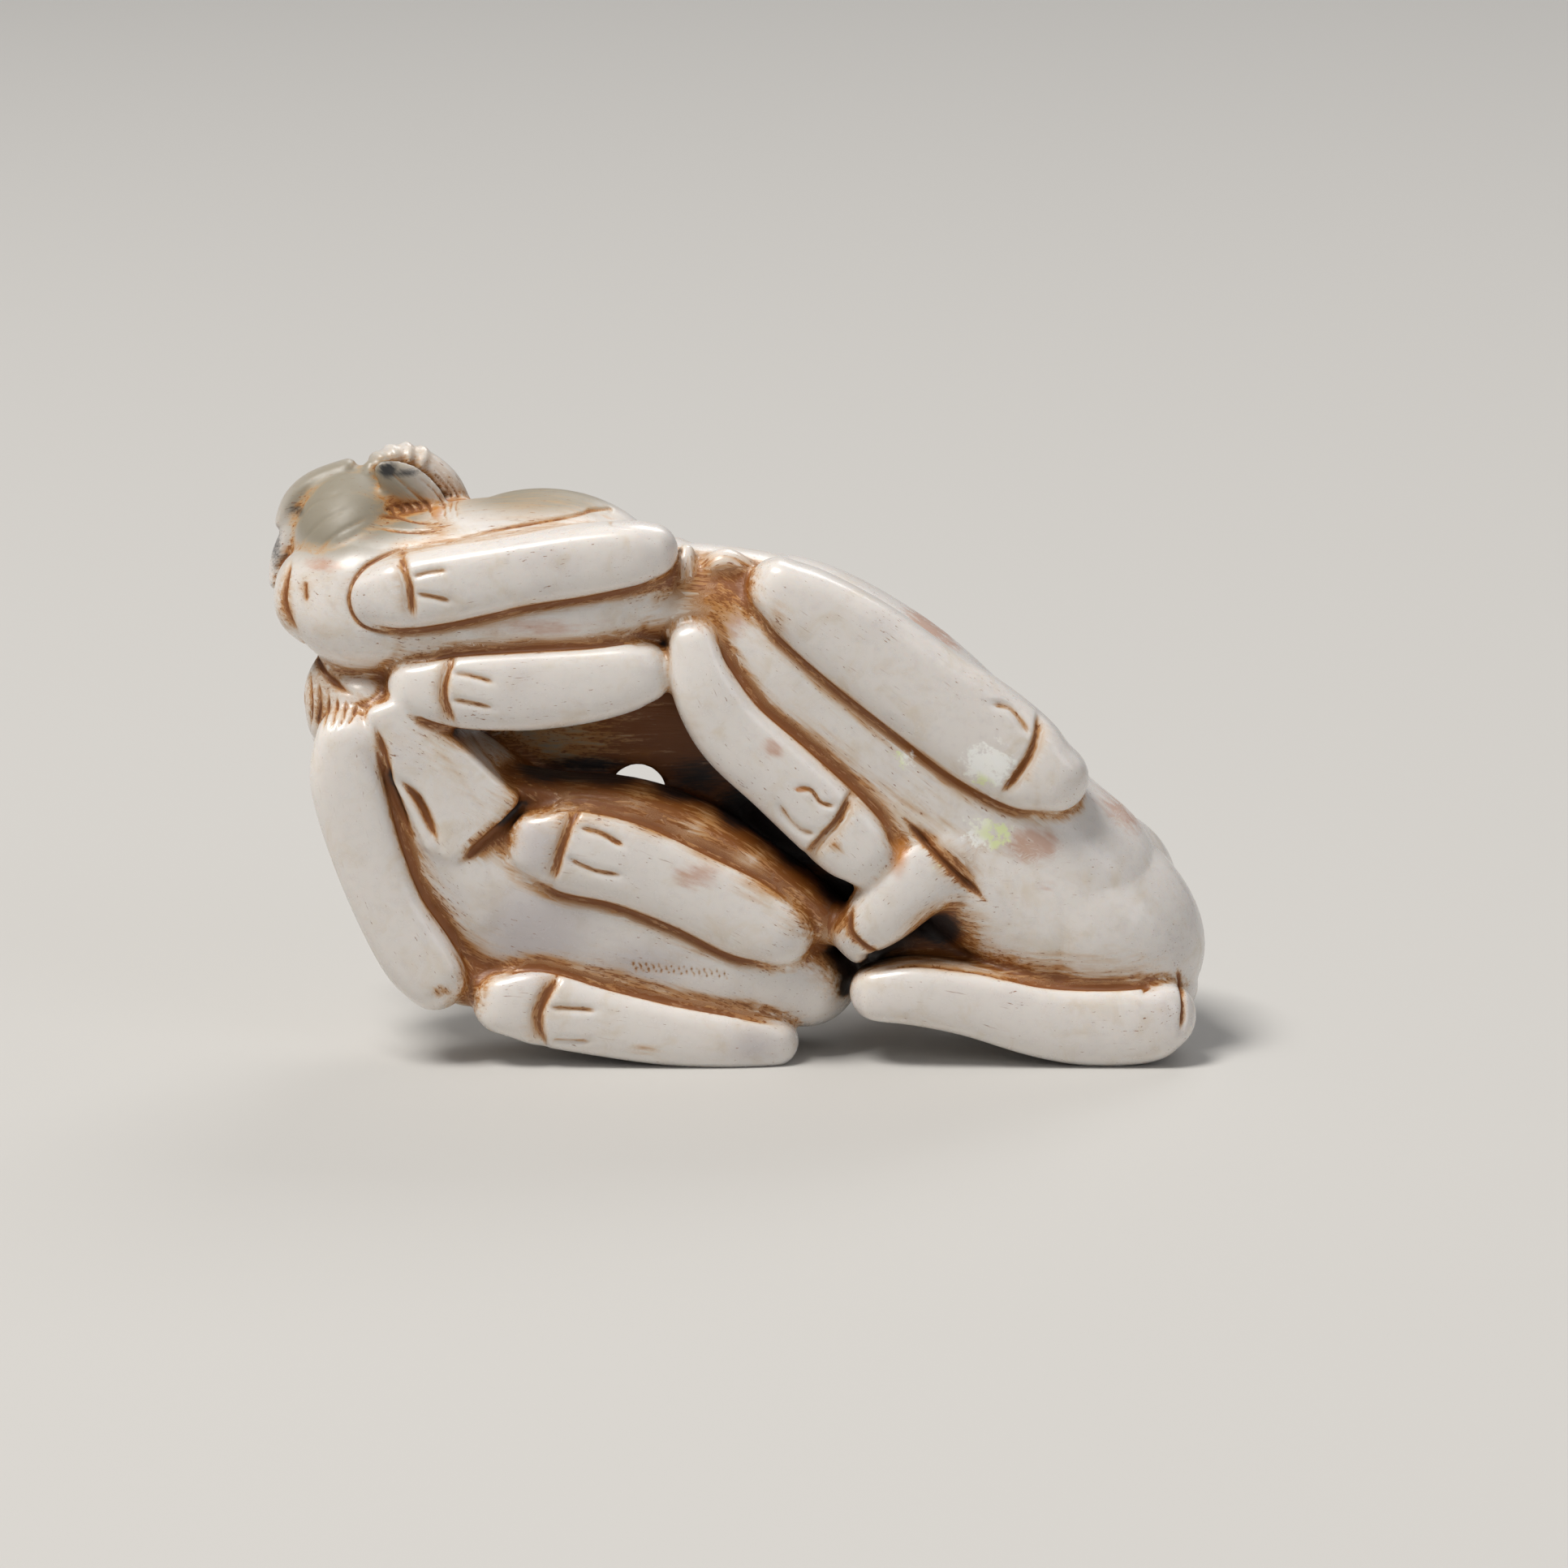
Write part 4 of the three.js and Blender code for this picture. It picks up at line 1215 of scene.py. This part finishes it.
def distance_to_line(
    places: np.ndarray, line: np.ndarray, look: np.ndarray
) -> tuple[np.ndarray, np.ndarray, np.ndarray]:
    """Measures how far some places lie from a broken line.

    Args:
        places: The places, one a row.
        line: The line's corners, one a row.
        look: The way that the line was looked at when it was drawn.

    Returns:
        The distance of each place, the share of the line's length at its nearest point, and how
        far the place lies to the right of the line.
    """
    best = np.full(len(places), np.inf)
    share = np.zeros(len(places))
    side = np.zeros(len(places))
    steps = np.linalg.norm(np.diff(line, axis=0), axis=1)
    total = max(float(steps.sum()), 1e-9)
    done = 0.0
    for start, end, length in zip(line[:-1], line[1:], steps):
        if length < 1e-9:
            continue
        way = (end - start) / length
        offset = places - start
        t = np.clip(offset @ way, 0, length)
        away = np.linalg.norm(offset - t[:, None] * way, axis=1)
        closer = away < best
        best[closer] = away[closer]
        share[closer] = (done + t[closer]) / total
        side[closer] = (offset @ np.cross(look, way))[closer]
        done += length
    return best, share, side


class Weathering:
    """Paints the stone's attributes: creases, depth of shade, dirt, patches and the run of the grain."""

    RAYS = 24
    SEED = 7  # of the rays' random directions
    LIFT = 0.05  # mm, how far above the stone a ray starts
    REACH = 9.0  # mm, how far it looks for stone that shuts a point in
    FULL = {"crease": 0.06, "recess": 0.2, "valley": 0.65}  # mm deep where each hollow counts as full
    GRAIN_STEP = 37.0  # mm between the grain's starts on one form and the next
    GRAIN_REACH = 1.8  # how far from its line a form's grain is looked for, as a share of its radius

    def __init__(self, workshop: Workshop, forms: list[Form], patches: list[Patch]) -> None:
        """Reads the finished mesh."""
        self.stone = workshop.stone
        self.mesh = workshop.stone.data
        self.dirt = workshop.dirt
        self.hollow = workshop.hollow
        self.run = workshop.run
        self.forms = forms
        self.patches = patches
        self.places, self.normals = read_points(self.mesh)

    def shade(self) -> np.ndarray:
        """Measures how shut in each point is, from 0 in the open to 1 deep inside."""
        tree = BVHTree.FromObject(self.stone, bpy.context.evaluated_depsgraph_get())
        draw = np.random.default_rng(self.SEED)
        rays = unit(draw.normal(size=(self.RAYS, 3)))
        facing = self.normals @ rays.T
        side = np.sign(facing)
        share = np.abs(facing)
        starts = self.places + self.normals * self.LIFT
        shut = np.zeros(len(self.places))
        for number, start in enumerate(starts):
            place = Vector(start)
            for k, ray in enumerate(rays):
                hit = tree.ray_cast(place, Vector(ray * side[number, k]), self.REACH)[3]
                if hit is not None:
                    shut[number] += share[number, k] * (1 - hit / self.REACH)
        return shut / (self.RAYS / 2)  # the rays' shares come to half their number

    def grain(self) -> np.ndarray:
        """Gives each point its place along and across the stroke or the limb that it lies on, in mm."""
        best = np.full(len(self.places), np.inf)
        grain = np.zeros((len(self.places), 3))
        for number, form in enumerate(self.forms):
            guide = form.guide()
            reach = guide.radius.max() * self.GRAIN_REACH
            low, high = guide.line.min(0) - reach, guide.line.max(0) + reach
            index = np.flatnonzero(np.all((self.places > low) & (self.places < high), axis=1))
            if not len(index):
                continue
            offsets = self.places[index][:, None] - guide.line[None]
            away = np.linalg.norm(offsets, axis=2) / guide.radius
            nearest = away.argmin(axis=1)
            row = np.arange(len(index))
            closer = away[row, nearest] < best[index]
            kept, station = index[closer], nearest[closer]
            best[kept] = away[row, nearest][closer]
            offset = offsets[row, nearest][closer]
            length = np.concatenate([[0], np.linalg.norm(np.diff(guide.line, axis=0), axis=1).cumsum()])
            along = np.cross(guide.wide, guide.deep)
            grain[kept, 0] = length[station] + (offset * along[station]).sum(1) + self.GRAIN_STEP * number
            grain[kept, 1] = (offset * guide.wide[station]).sum(1)
            grain[kept, 2] = (offset * guide.deep[station]).sum(1)
        return np.where(np.isnan(self.run), grain, self.run)

    def paint(self) -> None:
        """Writes every attribute onto the mesh."""
        layers = {tone.value[0]: np.zeros((len(self.places), 3)) for tone in Tone}
        for patch in self.patches:
            name, column = patch.tone.value
            layer = layers[name][:, column]
            np.maximum(layer, patch.cover(self.places), out=layer)
        for (name, full), depth in zip(self.FULL.items(), self.hollow.T):
            self.store(name, np.clip(depth / full, -1, 1))
        self.store("dirt", self.dirt)
        self.store("umber", layers.pop("umber")[:, 0])
        # how shut in each point is, which the material lays on as painted shade
        self.store("shade", self.shade())
        for name, layer in layers.items():
            self.store(name, layer)
        self.store("grain", self.grain())

    def store(self, name: str, values: np.ndarray) -> None:
        """Writes one value, or one row of three, a point."""
        kind, slot = ("FLOAT", "value") if values.ndim == 1 else ("FLOAT_VECTOR", "vector")
        attribute = self.mesh.attributes.new(name, kind, "POINT")
        attribute.data.foreach_set(slot, values.astype(np.float32).ravel())


def linear(colour: str) -> tuple[float, float, float, float]:
    """Turns an sRGB hex value into linear red, green, blue and alpha."""
    parts = [int(colour[k : k + 2], 16) / 255 for k in (1, 3, 5)]
    curve = [c / 12.92 if c <= 0.04045 else ((c + 0.055) / 1.055) ** 2.4 for c in parts]
    return (*curve, 1.0)


def add_node(
    tree: bpy.types.NodeTree, kind: str, settings: dict | None = None, **inputs: object
) -> bpy.types.Node:
    """Adds a shader node, sets its properties and fills or links its inputs.

    Args:
        tree: The material's nodes.
        kind: The node's type, without the word ShaderNode.
        settings: Properties of the node itself.
        inputs: A value, or a node or output socket to link, for each input, by its name with
            underscores for spaces, or by _ and its number.

    Returns:
        The node.
    """
    node = tree.nodes.new("ShaderNode" + kind)
    for name, value in (settings or {}).items():
        setattr(node, name, value)
    for name, value in inputs.items():
        socket = node.inputs[int(name[1:])] if name[0] == "_" else node.inputs[name.replace("_", " ")]
        if isinstance(value, bpy.types.Node):
            value = value.outputs[0]
        if isinstance(value, bpy.types.NodeSocket):
            tree.links.new(value, socket)
        else:
            socket.default_value = value
    return node


@dataclass(frozen=True)
class Nephrite:
    """White nephrite, cut by abrasive wheels, hand polished and stained by long handling.

    The polish gives soft bright lights on a body that glows a little. Brown dirt fills the
    grooves and runs in hairlines along each limb, and grey-green, lilac and rust lie in patches.
    Painted shade darkens the places that the stone shuts in, to near black.
    """

    white: str = "#E8E5E2"
    cream: str = "#D8CCBA"
    lilac: str = "#B4B0B6"
    grey_green: str = "#827E70"
    rust: str = "#B5682F"
    halo: str = "#D0AE7C"
    tan: str = "#B67A30"
    brown: str = "#884C08"
    # the deepest dirt, also laid as painted shade where the stone is shut in
    deep: str = "#1E0E05"
    # the black of the inclusions, also laid as painted shade in the hole and the opening
    ink: str = "#14161C"
    amber: str = "#C07818"
    chalk: str = "#FBFAF4"
    lime: str = "#DBE796"
    ior: float = 1.62
    roughness: float = 0.2
    worn_roughness: float = 0.5
    cloud: float = 3.4  # mm, the size of the milky clouds in the stone
    fleck: float = 0.7  # mm, the felted fibres seen as fine mottling
    ground: float = 6.0  # mm, the size of the areas with more or fewer pits
    crumb: float = 0.9  # mm, the grains of the white lime crust
    streak: tuple[float, float] = (5.0, 0.45)  # mm along and across a smear of dirt
    hair: tuple[float, float] = (2.6, 0.17)  # mm along and across a polisher's hairline
    dash: tuple[float, float] = (0.8, 0.16)  # mm along and across a stained pit, drawn a little coarse
    flush: tuple[float, float] = (3.0, 0.7)  # mm along and across a rust streak
    glow: float = 0.0016  # m, how far red light travels in the stone

    def fibres(self, tree: bpy.types.NodeTree, size: tuple[float, float], detail: float) -> bpy.types.Node:
        """Gives noise drawn out along the limbs.

        Args:
            tree: The material's nodes.
            size: Its scale along and across, in millimetres.
            detail: How many finer layers it has.

        Returns:
            The noise node.
        """
        run = add_node(tree, "Attribute", {"attribute_name": "grain"}).outputs["Vector"]
        along, across = 1 / size[0], 1 / size[1]
        scaled = add_node(tree, "VectorMath", TIMES, _0=run, _1=(along, across, across))
        return add_node(tree, "TexNoise", None, Vector=scaled, Scale=1.0, Detail=detail, Roughness=0.6)

    def lay(
        self,
        tree: bpy.types.NodeTree,
        under: object,
        over: object,
        field: object,
        span: tuple[float, float],
        most: float = 1.0,
    ) -> bpy.types.NodeSocket:
        """Lays one colour over another where a field is high.

        Args:
            tree: The material's nodes.
            under: The colour below, as a socket or a hex value.
            over: The colour on top, as a socket or a hex value.
            field: The node or socket that says where.
            span: The field's values at which the top colour starts and is full.
            most: How much of the top colour shows where it is full.

        Returns:
            The mixed colour's socket.
        """
        share = add_node(
            tree, "MapRange", {"interpolation_type": "SMOOTHSTEP"},
            Value=field, From_Min=span[0], From_Max=span[1], To_Max=most,
        )
        under, over = (linear(c) if isinstance(c, str) else c for c in (under, over))
        blend = {"data_type": "RGBA", "clamp_factor": True}
        return add_node(tree, "Mix", blend, _0=share, _6=under, _7=over).outputs[2]

    def read(self, tree: bpy.types.NodeTree) -> dict[str, bpy.types.NodeSocket]:
        """Reads the painted fields and adds the stone's own noises, each under its name."""
        fields = {
            name: add_node(tree, "Attribute", {"attribute_name": name}).outputs["Fac"]
            for name in ("crease", "recess", "valley", "dirt", "umber", "shade")
        }
        for name, columns in (("tones", ("green", "lilac", "rust")), ("marks", ("ink", "crust", "amber"))):
            rows = add_node(tree, "Attribute", {"attribute_name": name}).outputs["Vector"]
            fields.update(zip(columns, add_node(tree, "SeparateXYZ", None, Vector=rows).outputs))
        place = add_node(tree, "TexCoord").outputs["Object"]
        for name, size, detail, roughness, distortion in (
            ("clouds", self.cloud, 5, 0.62, 0.6),
            ("flecks", self.fleck, 3, 0.5, 0),
            ("grounds", self.ground, 2, 0.5, 0),
            ("grains", self.crumb, 6, 0.75, 0),
        ):
            fields[name] = add_node(
                tree, "TexNoise", None,
                Vector=place, Scale=1000 / size, Detail=detail, Roughness=roughness, Distortion=distortion,
            ).outputs[0]
        fields["hairs"] = self.fibres(tree, self.hair, 3).outputs[0]
        return fields

    def stain(self, tree: bpy.types.NodeTree, fields: dict[str, bpy.types.NodeSocket]) -> bpy.types.Node:
        """Works out how much dirt each place holds, with painted shade added where the stone is shut in.

        Args:
            tree: The material's nodes.
            fields: The painted fields.

        Returns:
            A node that gives 0 on clean stone and about 1 in a full groove or deep in painted shade.
        """
        total = fields["dirt"]
        # crease, recess and valley hold dirt in the hollows; shade adds painted shade where the stone is
        # shut in; the umber patches add brown stain and, in the hole and the opening, painted shade
        shares = {"crease": 0.08, "recess": 0.17, "valley": 0.54, "umber": 0.66, "shade": 0.6}
        for name, share in shares.items():
            raised = add_node(tree, "Math", {"operation": "MAXIMUM"}, _0=fields[name], _1=0.0)
            total = add_node(tree, "Math", TIMES_PLUS, _0=raised, _1=share, _2=total)
        streaks = self.fibres(tree, self.streak, 5)
        uneven = add_node(
            tree, "MapRange", None, Value=streaks, From_Min=0.3, From_Max=0.7, To_Min=0.4, To_Max=1.6
        )
        broken = add_node(tree, "Math", TIMES, _0=total, _1=uneven)
        return add_node(tree, "Math", {"operation": "SUBTRACT", "use_clamp": True}, _0=broken, _1=0.06)

    def colour(
        self, tree: bpy.types.NodeTree, fields: dict[str, bpy.types.NodeSocket], stain: bpy.types.Node
    ) -> bpy.types.NodeSocket:
        """Lays the colours over one another, from the pale stone to the dirt, the crust and the painted
        shade.

        Args:
            tree: The material's nodes.
            fields: The painted fields and the noises.
            stain: How much dirt each place holds.

        Returns:
            The finished colour's socket.
        """
        ramp = add_node(tree, "ValToRGB", None, Fac=stain)
        stops = ramp.color_ramp.elements
        stops[0].position, stops[0].color = 0.0, linear(self.halo)
        # the deepest stop, where dirt and painted shade are full
        stops[1].position, stops[1].color = 1.0, linear(self.deep)
        for position, tone in ((0.36, self.tan), (0.8, self.brown)):
            stops.new(position).color = linear(tone)
        grounds, hairs = fields["grounds"], fields["hairs"]
        flushed = add_node(tree, "Math", TIMES, _0=fields["rust"], _1=self.fibres(tree, self.flush, 3))
        lined = add_node(tree, "Math", TIMES_PLUS, _0=stain, _1=0.35, _2=hairs)
        pits = add_node(tree, "Math", TIMES_PLUS, _0=stain, _1=0.45, _2=self.fibres(tree, self.dash, 3))
        pits = add_node(tree, "Math", TIMES_PLUS, _0=grounds, _1=0.24, _2=pits)
        ink_and_shade_cover = add_node(tree, "Math", TIMES_PLUS, _0=hairs, _1=0.5, _2=fields["ink"])
        chalk = self.lay(tree, self.chalk, self.lime, grounds, (0.5, 0.6), 0.7)
        colour = self.white
        for over, field, span, most in (
            (self.cream, fields["clouds"], (0.48, 0.74), 0.6),
            (self.lilac, fields["flecks"], (0.46, 0.85), 0.24),
            (self.lilac, grounds, (0.5, 0.8), 0.22),
            (self.grey_green, fields["green"], (0.05, 0.8), 0.95),
            (self.lilac, fields["lilac"], (0.05, 0.7), 0.7),
            (self.rust, flushed, (0.18, 0.56), 0.55),
            (ramp.outputs["Color"], stain, (-0.08, 0.32), 0.93),
            (self.brown, lined, (0.66, 0.8), 0.75),
            (self.brown, pits, (0.79, 0.86), 0.9),
            (self.ink, ink_and_shade_cover, (0.5, 0.95), 0.95),
            (self.amber, fields["amber"], (0.25, 0.8), 0.8),
            (chalk, fields["crumbs"], (0.3, 0.42), 1.0),
            # painted shade: the deep colour laid where the rays find the stone shut in
            (self.deep, fields["shade"], (0.3, 0.6), 0.96),
        ):
            colour = self.lay(tree, colour, over, field, span, most)
        return colour

    def material(self) -> bpy.types.Material:
        """Builds the finish.

        Returns:
            The material.
        """
        made = bpy.data.materials.new("polished_white_nephrite")
        made.use_nodes = True
        tree = made.node_tree
        tree.nodes.clear()
        fields = self.read(tree)
        stain = self.stain(tree, fields)
        flecks = fields["flecks"]
        crumbs = add_node(tree, "Math", TIMES, _0=fields["crust"], _1=fields["grains"]).outputs[0]
        colour = self.colour(tree, fields | {"crumbs": crumbs}, stain)

        rough = add_node(
            tree, "MapRange", None, Value=stain, From_Min=0.0, From_Max=0.8,
            To_Min=self.roughness, To_Max=self.worn_roughness,
        )
        rough = add_node(tree, "Math", TIMES_PLUS, _0=flecks, _1=0.12, _2=rough)
        rough = add_node(tree, "Math", TIMES_PLUS, _0=fields["green"], _1=0.26, _2=rough)
        rough = add_node(tree, "Math", TIMES_PLUS | {"use_clamp": True}, _0=crumbs, _1=1.2, _2=rough)
        scored = add_node(tree, "Math", TIMES, _0=fields["hairs"], _1=stain)
        height = add_node(tree, "Math", TIMES_PLUS, _0=flecks, _1=0.12, _2=scored)
        bump = add_node(tree, "Bump", None, Strength=0.6, Distance=0.00008, Height=height)
        shader = add_node(
            tree, "BsdfPrincipled", None,
            Base_Color=colour, Roughness=rough, Normal=bump, IOR=self.ior,
            Subsurface_Weight=0.35, Subsurface_Radius=(1.0, 0.78, 0.6), Subsurface_Scale=self.glow,
        )
        add_node(tree, "OutputMaterial", None, Surface=shader)
        return made


@dataclass
class Studio:
    """A plain pale floor, soft lights, and the camera at the photograph's viewing angle."""

    target: Spot = (3.68, -14.13, 25.5)
    distance: float = 520.0
    elevation: float = 12.0
    frame_width: float = 135.24
    floor_size: float = 8.0

    def camera(self) -> None:
        """Adds the camera: a long lens a little above the carving."""
        tilt = math.radians(self.elevation)
        away = Vector((0, -math.cos(tilt), math.sin(tilt))) * self.distance
        data = bpy.data.cameras.new("camera")
        data.sensor_width = 36
        data.lens = 36 * self.distance / self.frame_width
        data.clip_start, data.clip_end = 0.01, 50
        camera = bpy.data.objects.new("camera", data)
        camera.location = (Vector(self.target) + away) * MM
        camera.rotation_euler = (math.pi / 2 - tilt, 0, 0)
        bpy.context.scene.collection.objects.link(camera)
        bpy.context.scene.camera = camera

    def light(self, name: str, place: Spot, aim: Spot, size: float, power: float, colour: str) -> None:
        """Adds one soft square light that faces a point."""
        data = bpy.data.lights.new(name, "AREA")
        data.size, data.energy, data.color = size, power, linear(colour)[:3]
        lamp = bpy.data.objects.new(name, data)
        lamp.location = place
        lamp.rotation_euler = (Vector(aim) - Vector(place)).to_track_quat("-Z", "Y").to_euler()
        bpy.context.scene.collection.objects.link(lamp)

    def floor(self) -> None:
        """Adds the pale floor."""
        deselect_all()
        bpy.ops.mesh.primitive_plane_add(size=self.floor_size)
        floor = bpy.context.object
        floor.name = "floor"
        made = bpy.data.materials.new("pale_paper")
        made.use_nodes = True
        shader = made.node_tree.nodes["Principled BSDF"]
        shader.inputs["Base Color"].default_value = linear("#C4C2BE")
        shader.inputs["Roughness"].default_value = 0.8
        floor.data.materials.append(made)
        floor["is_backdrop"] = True

    def build(self) -> None:
        """Sets up the camera, the floor, the lights and the room's own light."""
        self.camera()
        self.floor()
        middle = (0, 0, 0.025)
        self.light("softbox", (-0.8, -0.5, 1.9), middle, 0.8, 46.0, "#FFFCF8")
        self.light("fill", (1.8, -1.6, 0.9), middle, 1.2, 6.0, "#F2F6FF")
        self.light("back_light", (0.5, 1.7, 1.6), middle, 1.0, 11.0, "#FFFFFF")
        world = bpy.data.worlds.new("room")
        bpy.context.scene.world = world
        world.use_nodes = True
        backdrop = world.node_tree.nodes["Background"]
        backdrop.inputs["Color"].default_value = linear("#E8E8EA")
        backdrop.inputs["Strength"].default_value = 0.24
        bpy.context.scene.view_settings.view_transform = "Standard"


def corners(box: tuple[Vector, Vector]) -> list[list[float]]:
    """Gives a box's lowest and highest corner as plain lists."""
    return [list(map(float, corner)) for corner in box]


def main() -> None:
    """Builds the carving and the studio, and reports each step."""
    logging.basicConfig(level=logging.INFO, format="%(relativeCreated)6d ms  %(message)s")
    solid_box = corners(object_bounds())
    Studio().build()
    web = Web()
    animals = [UpperKid(), LowerKid(), LargeRam()]
    forms = [form for animal in animals for form in animal.forms()] + web.forms()
    strokes = [stroke for animal in animals for stroke in animal.strokes()]
    patches = [patch for part in (*animals, web) for patch in part.patches()]
    workshop = Workshop(forms, strokes, web)
    workshop.join()
    workshop.cut()
    LOG.info("cut %d strokes", len(strokes))
    workshop.thin()
    Weathering(workshop, forms, patches).paint()
    LOG.info("weathered")
    stone = workshop.stone
    stone.data.transform(Matrix.Scale(MM, 4) @ Matrix.Translation(INTO_FRAME))
    deselect_all()
    stone.select_set(True)
    bpy.context.view_layer.objects.active = stone
    bpy.ops.object.shade_smooth()
    stone.data.materials.clear()
    stone.data.materials.append(Nephrite().material())
    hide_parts(NODE)
    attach(stone, "root")
    {"cad": solid_box, "visual": corners(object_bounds())}
    LOG.info("carving: %d triangles", len(stone.data.polygons))


if __name__ == "__main__":
    main()
